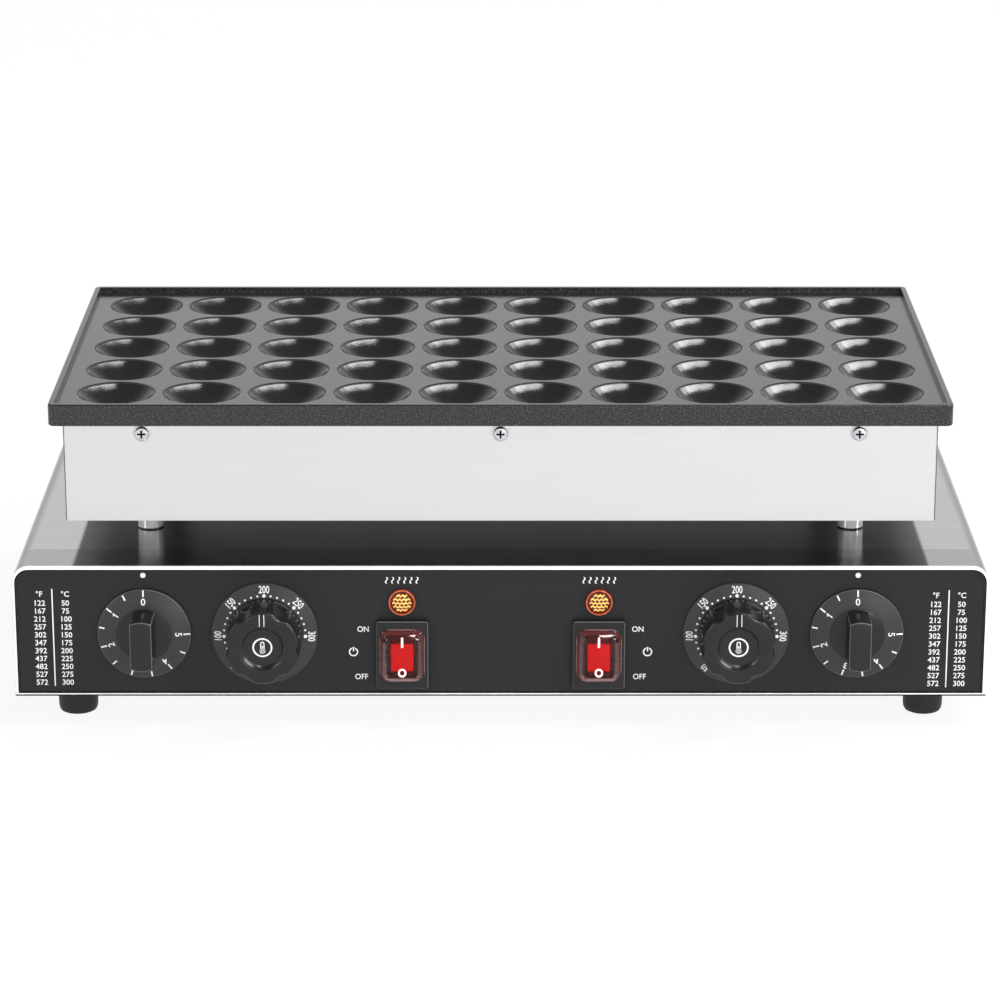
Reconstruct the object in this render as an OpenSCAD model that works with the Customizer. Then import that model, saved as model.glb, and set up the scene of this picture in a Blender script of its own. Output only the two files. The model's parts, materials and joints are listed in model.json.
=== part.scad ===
// Countertop mini pancake maker: a cast plate of round pits on a heater box, raised on
// four posts above a steel base that holds the timers, thermostats, switches and lamps.
// Millimetres. +Z is up, the control panel faces -Y, the floor is z = 0.

/* [Baking plate] */
// Pits from left to right
pit_cols = 10; // [10:2:14]
// Pits from front to back
pit_rows = 5; // [5:2:7]
// Distance between pit centres
pit_pitch = 49.5; // [49:0.5:54]
// Width of a pit where its wall meets the deck
pit_d = 45; // [38:0.5:46]
// Depth of a pit
pit_depth = 11; // [8:0.5:14]
// Radius of a pit's rounded lip
pit_lip = 2; // [0.5:0.1:2]
// Thickness of the casting round a pit
pit_wall = 4; // [3:0.5:5]
// Thickness of the deck between the pits
deck_t = 6; // [4:0.5:8]
// Outer pit centre to the plate's left or right edge
margin_x = 36; // [34:0.5:45]
// Outer pit centre to the plate's front or back edge
margin_y = 36.5; // [34:0.5:45]
// Height of the rim above the deck
rim_h = 3.2; // [2:0.1:6]
// Width of the rim
rim_w = 3.4; // [2.5:0.1:4]
// Rounding of the rim's edges
rim_edge = 0.9; // [0.3:0.1:1.2]
// Height of the plate's side, rim included
skirt_h = 12.8; // [12:0.2:18]
// Radius of the plate's corners
plate_corner_r = 4; // [4:0.5:8]

/* [Heater housing] */
// Plate's overhang past the housing, all round
plate_overhang = 7.5; // [6:0.5:10]
// Housing height, from its underside to the plate's underside
housing_h = 62.5; // [58:0.5:80]
// Thickness of the steel sheet
sheet_t = 1; // [0.8:0.1:1.2]
// Radius of the housing's upright corners
housing_corner_r = 2.5; // [2:0.5:6]
// Thickness of the insulation mat
mat_t = 18; // [12:1:20]
// Thickness of the reflector sheet
reflector_t = 0.6; // [0.4:0.1:1]
// Gap between the mat and the housing's walls
mat_fit = 1; // [0.5:0.1:3]

/* [Plate screws] */
// Thread diameter of the screws that hold the plate
plate_screw_d = 5; // [4:0.5:6]
// Head diameter of a plate screw
plate_head_d = 8.4; // [8:0.2:9.6]
// Head height of a plate screw
plate_head_h = 2.6; // [2:0.1:3.4]
// Washer diameter under a plate screw
plate_washer_d = 10.4; // [10:0.2:13]
// Washer thickness
plate_washer_t = 0.8; // [0.5:0.1:1.2]
// Outer screw centre to the housing's side
plate_screw_inset = 45.5; // [30:0.5:60]
// Screw centre below the plate's bottom edge
plate_screw_drop = 6; // [5.6:0.2:9]
// Width of the lug that takes a plate screw
lug_w = 14; // [12:0.5:18]
// Depth of that lug, front to back
lug_d = 9; // [7:0.5:9.5]
// Metal left under the screw in a lug
lug_below = 4; // [3:0.5:6]

/* [Heating elements] */
// Tube diameter
element_d = 6.6; // [6:0.1:8]
// Gap between the tubes and the pits' undersides
element_gap = 0.2; // [0.1:0.1:0.6]
// Gap between the outer bends and the housing's side
element_side_gap = 19; // [16:0.5:30]
// Plate's middle line to the inner bends of a tube
element_mid_x = 22; // [18:0.5:30]
// Bend radius where a tube turns down to its terminal
leg_r = 10; // [8:0.5:12]
// Length of a tube's leg below its run
leg_len = 18; // [16:0.5:20]
// Diameter of a terminal pin
pin_d = 3; // [2:0.1:4]
// Length of a terminal pin
pin_len = 5; // [3:0.5:6]
// Thickness of the clamp bars under the tubes
clamp_t = 2; // [1.5:0.1:3]
// Width of the clamp bars
clamp_w = 12; // [10:0.5:16]
// Clamp bar's reach past the outer runs
clamp_reach = 7; // [5:0.5:10]
// Thread diameter of the clamp screws
clamp_screw_d = 4; // [3:0.5:5]
// Diameter of the boss that takes a clamp screw
boss_d = 10; // [8:0.5:12]

/* [Posts] */
// Gap between the base and the housing
post_gap = 18; // [12:0.5:40]
// Post diameter
post_d = 15; // [14:0.5:20]
// Diameter of a post's threaded ends
post_thread_d = 12; // [11:0.5:13]
// Bore through a post for the leads
post_bore = 8; // [6:0.5:9]
// Length of a threaded end past its sheet
post_stub = 5; // [4:0.5:8]
// Post centre to the housing's side
post_inset_x = 44.75; // [35:0.25:60]
// Post centre to the housing's front or back
post_inset_y = 45; // [35:0.5:60]
// Width of a post nut across its flats
post_nut_af = 17; // [16:0.5:20]
// Thickness of a post nut
post_nut_t = 3.5; // [3:0.1:5]

/* [Base] */
// Base's ledge past the plate at the left and right
ledge_x = 21.25; // [15:0.25:40]
// Base's ledge past the plate at the front and back
ledge_y = 24.5; // [15:0.5:40]
// Height of the base without its feet
base_h = 78; // [76:0.5:100]
// Outer radius of the base's top corners
base_corner_r = 10; // [8:0.5:16]
// Outer radius of the rolled edge round the panels
roll_r = 1.5; // [1.3:0.1:1.8]
// Width of the bright border round the panels
border = 2.6; // [2.5:0.1:4]
// Gap between the shell and the panels inside it
panel_fit = 0.2; // [0.1:0.05:0.5]
// Depth of the panels' bottom flange
flange_d = 14; // [12:0.5:20]
// Thickness of the printed overlay
overlay_t = 0.5; // [0.3:0.1:0.7]
// Gap between the overlay and the border
overlay_fit = 0.3; // [0.1:0.05:0.6]
// Bright strip under the overlay
overlay_rise = 2.4; // [1.5:0.1:4]
// Number of vent slots in the bottom plate
vent_count = 9; // [3:2:15]
// Length of a vent slot
vent_len = 60; // [30:1:90]
// Width of a vent slot
vent_w = 5; // [4.5:0.5:8]
// Distance between vent slots
vent_pitch = 16; // [12:1:24]
// Thread diameter of the bottom plate's screws
bottom_screw_d = 4; // [3:0.5:5]
// Head height of the bottom plate's screws
bottom_head_h = 2.4; // [1.8:0.1:3]

/* [Feet] */
// Height of a foot
foot_h = 19.5; // [12:0.5:30]
// Foot diameter at the top
foot_d = 23; // [20:0.5:34]
// Foot diameter at the floor
foot_tip_d = 20.4; // [18:0.2:32]
// Foot centre to the base's side
foot_inset_x = 32.6; // [26:0.2:60]
// Foot centre to the base's front or back
foot_inset_y = 31; // [26:0.5:60]
// Thread diameter of a foot's bolt
foot_bolt_d = 5; // [4:0.5:6]
// Depth of rubber above the bolt's head
foot_seat = 8; // [5:0.5:9]

/* [Controls] */
// Knobs' axes below the middle of the base's height
control_drop = 0.5; // [0:0.1:1]
// Timer axis to the base's side
timer_inset = 75.5; // [60:0.5:80]
// Thermostat axis from the timer
thermostat_step = 69.2; // [62:0.2:75]
// Switch and lamp from the thermostat
switch_step = 78.8; // [60:0.2:90]
// Diameter of a control's threaded bush
bush_d = 10; // [9:0.5:11]
// Shaft diameter
shaft_d = 6; // [5:0.5:6.5]
// Radial gap round a shaft in its bush
shaft_fit = 0.05; // [0.02:0.01:0.1]
// Radial gap round a shaft in its knob
knob_fit = 0.02; // [0.01:0.01:0.04]
// Gap between a thing and the hole that it passes through
hole_fit = 0.2; // [0.1:0.05:0.4]
// Gap behind a turning knob
knob_gap = 0.6; // [0.4:0.1:1.2]
// Width of a bush nut across its flats
bush_nut_af = 14; // [13:0.5:16]
// Thickness of a bush nut
bush_nut_t = 2.5; // [2:0.1:3.5]
// Shaft's depth in a control's body
shaft_seat = 10; // [6:0.5:14]
// Shaft's depth in a knob, past the nut's pocket
shaft_grip = 9; // [7:0.5:10]
// Width of a blade terminal
blade_w = 6.3; // [4.8:0.1:6.3]
// Thickness of a blade terminal
blade_t = 0.8; // [0.5:0.1:1]
// Length of a blade terminal
blade_l = 9; // [6:0.5:10]

/* [Timers] */
// Diameter of the numbered skirt
timer_skirt_d = 53.6; // [48:0.2:58]
// Thickness of the skirt at its edge
timer_skirt_edge = 1.4; // [1:0.1:2.4]
// Height of the skirt where it meets the boss
timer_skirt_t = 3.6; // [3:0.1:5]
// Diameter of the boss in the skirt
timer_boss_d = 32; // [28:0.5:36]
// Height of the boss
timer_boss_h = 5.2; // [5:0.1:7]
// Width of the grip bar
timer_grip_w = 13; // [10:0.5:16]
// Height of the grip bar above the skirt
timer_grip_h = 20; // [16:0.5:26]
// Rounding of the grip bar's upright edges
timer_grip_r = 1.5; // [0.5:0.1:3]
// Diameter of the timer's body
timer_body_d = 44; // [36:0.5:50]
// Depth of the timer's body
timer_body_l = 30; // [20:0.5:36]

/* [Thermostats] */
// Diameter of the fixed number ring
bezel_d = 60.8; // [56:0.2:64]
// Thickness of the ring at its edge
bezel_edge = 1.4; // [0.8:0.1:2]
// Thickness of the ring at its inner edge
bezel_t = 3.2; // [2.5:0.1:4]
// Thickness of the ring's floor under the knob
bezel_floor = 1.4; // [1:0.1:2]
// Diameter of the knob over its lobes
grip_d = 42; // [38:0.5:44]
// Height of the knob
grip_h = 24; // [20:0.5:30]
// Number of hollows round the knob
grip_flutes = 6; // [5:1:8]
// Radius of a hollow
flute_r = 13; // [8:0.5:16]
// Depth of a hollow
flute_depth = 2.6; // [1:0.1:3.5]
// Height of the plain collar under the hollows
grip_collar = 4; // [2:0.5:8]
// Diameter of the dish in the knob's face
dish_d = 23; // [18:0.5:26]
// Depth of the dish
dish_depth = 1.6; // [0.8:0.1:2.5]
// Width of the pointer mark
pointer_w = 2.2; // [1.2:0.1:3]
// Length of the pointer mark
pointer_len = 7; // [4:0.5:8]
// Depth of the pointer mark
pointer_depth = 0.6; // [0.3:0.1:1]
// Width and height of the thermostat's body
thermostat_body_w = 36; // [30:0.5:44]
// Depth of the thermostat's body
thermostat_body_l = 34; // [24:0.5:44]
// Diameter of the capillary tube
capillary_d = 2; // [1.5:0.1:3]
// Bend radius of the capillary tube
capillary_r = 8; // [6:0.5:10]
// Length of the capillary's bulb
bulb_len = 112; // [106:1:120]

/* [Switches and lamps] */
// Switch's middle below the knobs' axes
switch_drop = 12.5; // [11:0.25:13]
// Width of a switch's frame
frame_w = 30; // [28:0.5:36]
// Height of a switch's frame
frame_h = 41; // [38:0.5:43]
// Frame's front face in front of the border
frame_out = 3.2; // [2:0.1:5]
// Radius of the frame's corners
frame_r = 1.6; // [0.5:0.1:3]
// Width of the switch's body behind the panel
switch_body_w = 26; // [24:0.5:27]
// Height of the switch's body
switch_body_h = 36; // [32:0.5:36.5]
// Depth of the switch's body
switch_body_l = 26; // [20:0.5:30]
// Rocker's width
rocker_w = 13; // [11:0.5:15]
// Rocker's height
rocker_h = 24; // [20:0.5:24.5]
// Rocker's tilt to each side of the middle
rocker_tilt = 10; // [6:1:12]
// Rocker's pivot behind the frame's face
pivot_in = 3; // [2.5:0.1:4]
// Rocker's middle in front of its pivot
rocker_out = 3.6; // [3:0.1:4.5]
// Rocker's back behind its pivot
rocker_back = 2.2; // [2:0.1:3]
// Diameter of the rocker's pivot pins
pivot_d = 2.4; // [2:0.1:3]
// Length of a pivot pin
pivot_len = 1.4; // [1:0.1:2]
// Gap beside the rocker
rocker_gap = 0.4; // [0.3:0.05:0.6]
// Gap past the rocker's ends and behind it as it tilts
rocker_sweep = 0.8; // [0.5:0.1:1.5]
// Width of the splash cover
cover_w = 24.5; // [22:0.5:27]
// Height of the splash cover
cover_h = 32.5; // [28:0.5:36]
// Splash cover's front in front of the frame
cover_out = 6.6; // [6.4:0.1:9]
// Radius of the cover's corners
cover_r = 5.5; // [4:0.5:8]
// Rounding of the cover's front edge
cover_edge = 3; // [2:0.5:4]
// Wall of the splash cover
cover_t = 1.1; // [0.8:0.1:1.5]
// Lamp above the knobs' axes
lamp_up = 18.8; // [18:0.1:21]
// Diameter of the lamp's lens
lens_d = 15.6; // [13:0.2:18]
// Lens in front of the overlay
lens_out = 4.2; // [3:0.1:6]
// Diameter of the lens's neck through the panel
neck_d = 11; // [9:0.5:12]
// Diameter of the lamp's body behind the panel
lamp_body_d = 14; // [13.5:0.5:18]
// Depth of the lamp's body
lamp_body_l = 24; // [16:0.5:30]

/* [Mains connection] */
// Bore of the cable gland
gland_bore = 8; // [6:0.5:10]
// Thread diameter of the gland
gland_thread_d = 16; // [14:0.5:18]
// Length of the gland outside the back panel
gland_out = 24; // [16:0.5:30]
// Width of the gland's hexagon across its flats
gland_af = 22; // [20:0.5:26]
// Length of the gland's hexagon
gland_hex_t = 8; // [6:0.5:9]
// Thickness of the gland's flange in front of the border
gland_flange_t = 3; // [2:0.5:4]
// Gland axis to the base's side
gland_inset = 90; // [60:5:160]
// Gland axis above the base's underside
gland_rise = 30; // [26:0.5:40]
// Length of the terminal block
block_len = 60; // [40:1:80]
// Depth of the terminal block
block_d = 22; // [18:0.5:30]
// Height of the terminal block
block_h = 20; // [16:0.5:26]
// Ways in the terminal block
block_ways = 5; // [3:1:6]
// Terminal block's middle in front of the back panel
block_back = 70; // [40:1:90]
// Terminal screw diameter
block_screw_d = 5; // [4:0.5:6]
// Earth stud's diameter
earth_d = 5; // [4:0.5:6]
// Earth stud's length
earth_len = 14; // [10:0.5:20]

/* [Hidden] */
$fn = 64;

// Extra reach of a cutter past the face that it cuts
cut = 1;
sides = [-1, 1];
hex_fn = 6;
// Standard nut and screw head sizes as shares of the thread's diameter
nut_af_share = 1.6;
nut_t_share = 0.8;
head_h_share = 0.6;

steel = "#d4d6d8";
dark_iron = "#3c3c3e";
black = "#232325";
overlay_grey = "#343436";
zinc = "#b8babc";
brass = "#b59a55";

// Outlines of the plate, the housing and the base
row_end = (pit_rows - 1) / 2 * pit_pitch;
plate_w = (pit_cols - 1) * pit_pitch + 2 * margin_x;
plate_d = (pit_rows - 1) * pit_pitch + 2 * margin_y;
housing_w = plate_w - 2 * plate_overhang;
housing_d = plate_d - 2 * plate_overhang;
base_w = plate_w + 2 * ledge_x;
base_d = plate_d + 2 * ledge_y;

// Levels from the floor up
base_z = foot_h;
base_top = base_z + base_h;
housing_z = base_top + post_gap;
deck_under = housing_z + housing_h;
deck_z = deck_under + deck_t;
skirt_z = deck_z + rim_h - skirt_h;
mat_z = housing_z + sheet_t;

// How far the controls stand in front of the border and the gland behind the base
overlay_face = overlay_t - sheet_t;
timer_reach = overlay_face + knob_gap + timer_skirt_t + timer_grip_h;
grip_z = overlay_face + bezel_floor + knob_gap;
front_reach = max(timer_reach, grip_z + grip_h, frame_out + cover_out);
mid_y = (front_reach - gland_out) / 2;
front_y = mid_y - base_d / 2;
back_y = mid_y + base_d / 2;
panel_back = -2 * sheet_t;

// Pits and the casting under them
pit_r = (pit_d * pit_d / 4 + pit_depth * pit_depth) / (2 * pit_depth);
pit_up = pit_r - pit_depth;
lip_x = sqrt(pow(pit_r + pit_lip, 2) - pow(pit_up + pit_lip, 2));
lip_share = pit_r / (pit_r + pit_lip);
bulge_r = pit_r + pit_wall;
pit_xs = [for (i = [0 : pit_cols - 1]) (i - (pit_cols - 1) / 2) * pit_pitch];
pit_ys = [for (j = [0 : pit_rows - 1]) (j - (pit_rows - 1) / 2) * pit_pitch];

// Heating tubes lie under the pits, with clamp bars under the tubes
tube_z = deck_z - pit_depth - pit_wall - element_gap - element_d / 2;
bend_r = row_end / 3;
element_end = housing_w / 2 - sheet_t - element_side_gap - element_d / 2;
clamp_z = tube_z - element_d / 2 - clamp_t;
clamp_col = pit_cols / 2 - 1;
clamp_xs = [clamp_col * pit_pitch, floor(clamp_col / 2) * pit_pitch];
boss_y = row_end - pit_pitch / 2;

// Screws that hold the plate to the housing
plate_screw_z = skirt_z - plate_screw_drop;
plate_screw_xs = [plate_screw_inset - housing_w / 2, 0, housing_w / 2 - plate_screw_inset];

// Posts, feet, controls and bottom screws
post_x = housing_w / 2 - post_inset_x;
post_y = housing_d / 2 - post_inset_y;
foot_x = base_w / 2 - foot_inset_x;
foot_y = base_d / 2 - foot_inset_y;
timer_x = base_w / 2 - timer_inset;
thermostat_x = timer_x - thermostat_step;
switch_x = thermostat_x - switch_step;
control_rise = base_h / 2 - control_drop;
switch_rise = control_rise - switch_drop;
lamp_rise = control_rise + lamp_up;
bottom_screw_xs = [-thermostat_x, 0, thermostat_x];
bottom_screw_y = base_d / 2 - 2 * sheet_t - flange_d / 2;

// Bush, nut and shaft of a control
nut_pocket_r = bush_nut_af / 2 / cos(30) + knob_gap;
bush_reach = bush_nut_t + knob_gap;
timer_z = overlay_face + knob_gap;
timer_tip = overlay_face + bush_reach + shaft_grip;
grip_tip = overlay_face + bezel_floor + bush_reach + shaft_grip;

// Rocker's sweep inside its frame
rocker_rise = rocker_h / 2 * tan(rocker_tilt);
well_h = 2 * norm([rocker_h / 2, rocker_out + rocker_rise]) + 2 * rocker_sweep;
well_deep = pivot_in + rocker_back + rocker_h / 2 * sin(rocker_tilt) + rocker_sweep;

// Capillary route from the bulb, round the tubes and down a front post
bulb_x = element_end - bend_r - bulb_len;
capillary_x = element_end + element_d / 2 + capillary_r;
capillary_low = clamp_z - clamp_screw_d - capillary_r;
capillary_z = base_z + control_rise + thermostat_body_w / 4;

// Gland, and the terminal block in line with it, with the earth stud beside it
gland_x = base_w / 2 - gland_inset;
block_y = back_y - block_back;
block_z = base_z + sheet_t;
way_step = block_len / block_ways;
earth_x = gland_x - block_len;

// A rectangle with rounded corners, centred
module rounded_rect(w, h, r) {
  square([w - 2 * r, h], center = true);
  square([w, h - 2 * r], center = true);
  for (sx = sides, sy = sides) translate([sx * (w / 2 - r), sy * (h / 2 - r)]) circle(r);
}

// An upright outline with rounded top corners and its foot at y = 0
module arch(w, h, r) {
  translate([-w / 2, 0]) square([w, h - r]);
  translate([r - w / 2, 0]) square([w - 2 * r, h]);
  for (s = sides) translate([s * (w / 2 - r), h - r]) circle(r);
}

// A rectangle from (x0, y0) to (x1, y1) whose corners at x1 are rounded
module tab(x0, x1, y0, y1, r) {
  translate([x0, y0]) square([x1 - r - x0, y1 - y0]);
  translate([x0, y0 + r]) square([x1 - x0, y1 - y0 - 2 * r]);
  for (y = [y0 + r, y1 - r]) translate([x1 - r, y]) circle(r);
}

// A bar along X whose section is the 2-D child, x taken as +Y and y as +Z
module extrude_x(len) {
  translate([-len / 2, 0, 0]) rotate([90, 0, 90]) linear_extrude(len) children();
}

// Carries a section round a rectangle; its x runs outwards from the corners' centres
module rect_sweep(w, d, r) {
  for (turn = [0, 180]) rotate(turn) {
    translate([0, d / 2 - r, 0]) extrude_x(w - 2 * r) children();
    rotate(-90) translate([0, w / 2 - r, 0]) extrude_x(d - 2 * r) children();
    translate([w / 2 - r, d / 2 - r, 0]) rotate_extrude(angle = 90) children();
    translate([r - w / 2, d / 2 - r, 0]) rotate(90) rotate_extrude(angle = 90) children();
  }
}

// Carries a section up one side, over the top and down the other side of an arch
module arch_sweep(w, h, r) {
  translate([0, h - r, 0]) extrude_x(w - 2 * r) children();
  translate([w / 2 - r, h - r, 0]) rotate_extrude(angle = 90) children();
  translate([r - w / 2, h - r, 0]) rotate(90) rotate_extrude(angle = 90) children();
  translate([w / 2 - r, h - r, 0]) rotate([90, 0, 0]) linear_extrude(h - r) children();
  translate([r - w / 2, 0, 0]) rotate([90, 0, 180]) linear_extrude(h - r) children();
}

// A block with upright corner radius r and a front edge rounded by e
module pillow(w, h, t, r, e) {
  linear_extrude(t) square([w - 2 * r, h - 2 * r], center = true);
  rect_sweep(w, h, r) {
    square([r, t - e]);
    square([r - e, t]);
    intersection() {
      translate([r - e, t - e]) circle(e);
      square([r, t]);
    }
  }
}

// A pipe through axis-parallel points, with a bend radius at each inner point
module pipe(points, radii, d) {
  last = len(points) - 1;
  for (i = [0 : last - 1]) {
    way = points[i + 1] - points[i];
    dir = way / norm(way);
    trim0 = i == 0 ? 0 : radii[i - 1];
    trim1 = i == last - 1 ? 0 : radii[i];
    straight = norm(way) - trim0 - trim1;
    if (straight > 0.001) {
      side = abs(dir[2]) > 0.5 ? [1, 0, 0] : [0, 0, 1];
      up = cross(dir, side);
      at = points[i] + dir * trim0;
      place(at, side, up, dir) cylinder(d = d, h = straight);
    }
  }
  for (i = [1 : last - 1]) {
    u = (points[i] - points[i - 1]) / norm(points[i] - points[i - 1]);
    v = (points[i + 1] - points[i]) / norm(points[i + 1] - points[i]);
    r = radii[i - 1];
    place(points[i] + r * (v - u), -v, u, cross(-v, u))
      rotate_extrude(angle = 90) translate([r, 0]) circle(d = d);
  }
}

// Puts a child at a point with its own axes along three given directions
module place(at, ax, ay, az) {
  multmatrix([
    [ax[0], ay[0], az[0], at[0]],
    [ax[1], ay[1], az[1], at[1]],
    [ax[2], ay[2], az[2], at[2]],
    [0, 0, 0, 1]
  ]) children();
}

// Panel places: a child's x is to the right, its y up and its z out of the panel, with z = 0
// on the border's face; the place itself is given along +X on both panels
module on_front(x, rise) {
  translate([x, front_y, base_z + rise]) rotate([90, 0, 0]) children();
}

module on_back(x, rise) {
  translate([x, back_y, base_z + rise]) rotate([90, 0, 180]) children();
}

module at_corners(x, y) {
  for (sx = sides, sy = sides) translate([sx * x, mid_y + sy * y, 0]) children();
}

module hex_nut(af, t, bore_d) {
  difference() {
    cylinder(d = af / cos(30), h = t, $fn = hex_fn);
    translate([0, 0, -cut]) cylinder(d = bore_d, h = t + 2 * cut);
  }
}

// A pan-head screw: the head stands on z = 0 and the shank goes down
module pan_screw(d, len, head_d, head_h) {
  slot_w = head_d / 8;
  slot_l = head_d * 0.55;
  crown_r = head_h * 0.45;
  difference() {
    union() {
      translate([0, 0, -len]) cylinder(d = d, h = len);
      rotate_extrude() {
        square([head_d / 2, head_h - crown_r]);
        square([head_d / 2 - crown_r, head_h]);
        intersection() {
          translate([head_d / 2 - crown_r, head_h - crown_r]) circle(crown_r);
          square([head_d / 2, head_h]);
        }
      }
    }
    for (turn = [0, 90])
      rotate(turn) translate([-slot_l / 2, -slot_w / 2, head_h / 2]) cube([slot_l, slot_w, head_h]);
  }
}

// The plate's section at its edge: the skirt and the rim with rounded edges
module rim_section() {
  tab(plate_corner_r - rim_w, plate_corner_r, skirt_z, deck_z + rim_h, rim_edge);
  translate([0, deck_under]) square([plate_corner_r - rim_w + rim_edge, deck_t]);
}

// A pit's shape in section, with the fillet of its lip
module pit_section() {
  intersection() {
    translate([0, pit_up]) circle(pit_r, $fn = 96);
    translate([0, -pit_depth - cut]) square([pit_r, pit_depth + cut]);
  }
  difference() {
    polygon([
      [0, pit_up * (1 - lip_share) - pit_lip * lip_share],
      [lip_x * lip_share, pit_up * (1 - lip_share) - pit_lip * lip_share],
      [lip_x, -pit_lip],
      [lip_x, rim_h + cut],
      [0, rim_h + cut]
    ]);
    translate([lip_x, -pit_lip]) circle(pit_lip);
  }
}

module baking_plate() {
  color(dark_iron) translate([0, mid_y, 0]) difference() {
    union() {
      translate([0, 0, deck_under]) linear_extrude(deck_t)
        square([plate_w - 2 * plate_corner_r, plate_d - 2 * plate_corner_r], center = true);
      rect_sweep(plate_w, plate_d, plate_corner_r) rim_section();
      for (x = pit_xs, y = pit_ys) translate([x, y, deck_z]) pit_bulge();
      for (x = clamp_xs, sx = sides, sy = sides)
        translate([sx * x, sy * boss_y, clamp_z + clamp_t])
          cylinder(d = boss_d, h = deck_under + deck_t / 2 - clamp_z - clamp_t);
      for (turn = [0, 180], x = plate_screw_xs) rotate(turn) plate_lug(x);
    }
    for (x = pit_xs, y = pit_ys) translate([x, y, deck_z]) rotate_extrude() pit_section();
    for (x = clamp_xs, sx = sides, sy = sides)
      translate([sx * x, sy * boss_y, clamp_z]) cylinder(d = clamp_screw_d, h = boss_d);
    for (turn = [0, 180], x = plate_screw_xs)
      rotate(turn) translate([x, sheet_t - housing_d / 2 - cut, plate_screw_z])
        rotate([-90, 0, 0]) cylinder(d = plate_screw_d, h = lug_d - sheet_t + cut);
  }
}

// The casting under a pit, kept below the deck's surface
module pit_bulge() {
  rotate_extrude() intersection() {
    translate([0, pit_up]) circle(bulge_r, $fn = 96);
    translate([0, -bulge_r]) square([bulge_r, bulge_r - deck_t / 2]);
  }
}

module plate_lug(x) {
  lug_z = plate_screw_z - plate_screw_d / 2 - lug_below;
  translate([x - lug_w / 2, sheet_t - housing_d / 2, lug_z])
    cube([lug_w, lug_d, deck_under + deck_t / 2 - lug_z]);
}

module at_plate_screws() {
  for (turn = [0, 180], x = plate_screw_xs)
    translate([0, mid_y, 0]) rotate(turn) translate([x, -housing_d / 2, plate_screw_z])
      rotate([90, 0, 0]) children();
}

module plate_screws() {
  d = plate_screw_d - 2 * shaft_fit;
  len = plate_washer_t + lug_d - sheet_t;
  color(zinc) at_plate_screws() translate([0, 0, plate_washer_t])
    pan_screw(d, len, plate_head_d, plate_head_h);
}

module plate_washers() {
  color(zinc) at_plate_screws() difference() {
    cylinder(d = plate_washer_d, h = plate_washer_t);
    translate([0, 0, -cut]) cylinder(d = plate_screw_d + hole_fit, h = plate_washer_t + 2 * cut);
  }
}

module heater_housing() {
  color(steel) translate([0, mid_y, housing_z]) difference() {
    linear_extrude(housing_h) rounded_rect(housing_w, housing_d, housing_corner_r);
    translate([0, 0, sheet_t]) linear_extrude(housing_h)
      rounded_rect(housing_w - 2 * sheet_t, housing_d - 2 * sheet_t, housing_corner_r - sheet_t);
    for (sx = sides, sy = sides) translate([sx * post_x, sy * post_y, -cut])
      cylinder(d = post_thread_d + 2 * hole_fit, h = sheet_t + 2 * cut);
    for (turn = [0, 180], x = plate_screw_xs)
      rotate(turn) translate([x, cut - housing_d / 2 + sheet_t, plate_screw_z - housing_z])
        rotate([90, 0, 0]) cylinder(d = plate_screw_d + 2 * hole_fit, h = sheet_t + 2 * cut);
  }
}

// The mat and the sheet on it share their outline and the holes round the post nuts
module housing_layer(z, t) {
  translate([0, mid_y, z]) difference() {
    linear_extrude(t) square([housing_w - 2 * (sheet_t + mat_fit), housing_d - 2 * (sheet_t + mat_fit)],
      center = true);
    for (sx = sides, sy = sides) translate([sx * post_x, sy * post_y, -cut])
      cylinder(d = post_nut_af / cos(30) + 2 * mat_fit, h = t + 2 * cut);
  }
}

module insulation_mat() {
  color("#e6e0cf") housing_layer(mat_z, mat_t);
}

module reflector_sheet() {
  color("#c9ccd0") housing_layer(mat_z + mat_t, reflector_t);
}

// One tube: two runs at each end joined by bends, with both legs turned down in the middle
module heating_element() {
  far = element_end;
  runs = [
    [element_mid_x, -row_end, tube_z - leg_len], [element_mid_x, -row_end, tube_z],
    [far, -row_end, tube_z], [far, -bend_r, tube_z],
    [element_mid_x, -bend_r, tube_z], [element_mid_x, bend_r, tube_z],
    [far, bend_r, tube_z], [far, row_end, tube_z],
    [element_mid_x, row_end, tube_z], [element_mid_x, row_end, tube_z - leg_len]
  ];
  radii = [leg_r, bend_r, bend_r, bend_r, bend_r, bend_r, bend_r, leg_r];
  pipe(runs, radii, element_d);
  for (s = sides) translate([element_mid_x, s * row_end, tube_z - leg_len - pin_len])
    cylinder(d = pin_d, h = pin_len + cut);
}

module heating_element_left() {
  color("#6f6a63") translate([0, mid_y, 0]) mirror([1, 0, 0]) heating_element();
}

module heating_element_right() {
  color("#6f6a63") translate([0, mid_y, 0]) heating_element();
}

module element_clamps() {
  len = 2 * (row_end + clamp_reach);
  color(zinc) translate([0, mid_y, clamp_z]) for (x = clamp_xs, sx = sides) difference() {
    translate([sx * x - clamp_w / 2, -len / 2, 0]) cube([clamp_w, len, clamp_t]);
    for (sy = sides) translate([sx * x, sy * boss_y, -cut])
      cylinder(d = clamp_screw_d + 2 * hole_fit, h = clamp_t + 2 * cut);
  }
}

module clamp_screws() {
  d = clamp_screw_d - 2 * shaft_fit;
  color(zinc) translate([0, mid_y, clamp_z]) for (x = clamp_xs, sx = sides, sy = sides)
    translate([sx * x, sy * boss_y, 0]) mirror([0, 0, 1])
      pan_screw(d, boss_d - clamp_t, 2 * clamp_screw_d, head_h_share * clamp_screw_d);
}

// A hollow spacer with a threaded stub at each end
module post(sx, sy) {
  stub = sheet_t + post_stub;
  color(steel) translate([sx * post_x, mid_y + sy * post_y, base_top]) difference() {
    union() {
      cylinder(d = post_d, h = post_gap);
      translate([0, 0, -stub]) cylinder(d = post_thread_d, h = post_gap + 2 * stub);
    }
    translate([0, 0, -stub - cut]) cylinder(d = post_bore, h = post_gap + 2 * (stub + cut));
  }
}

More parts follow.
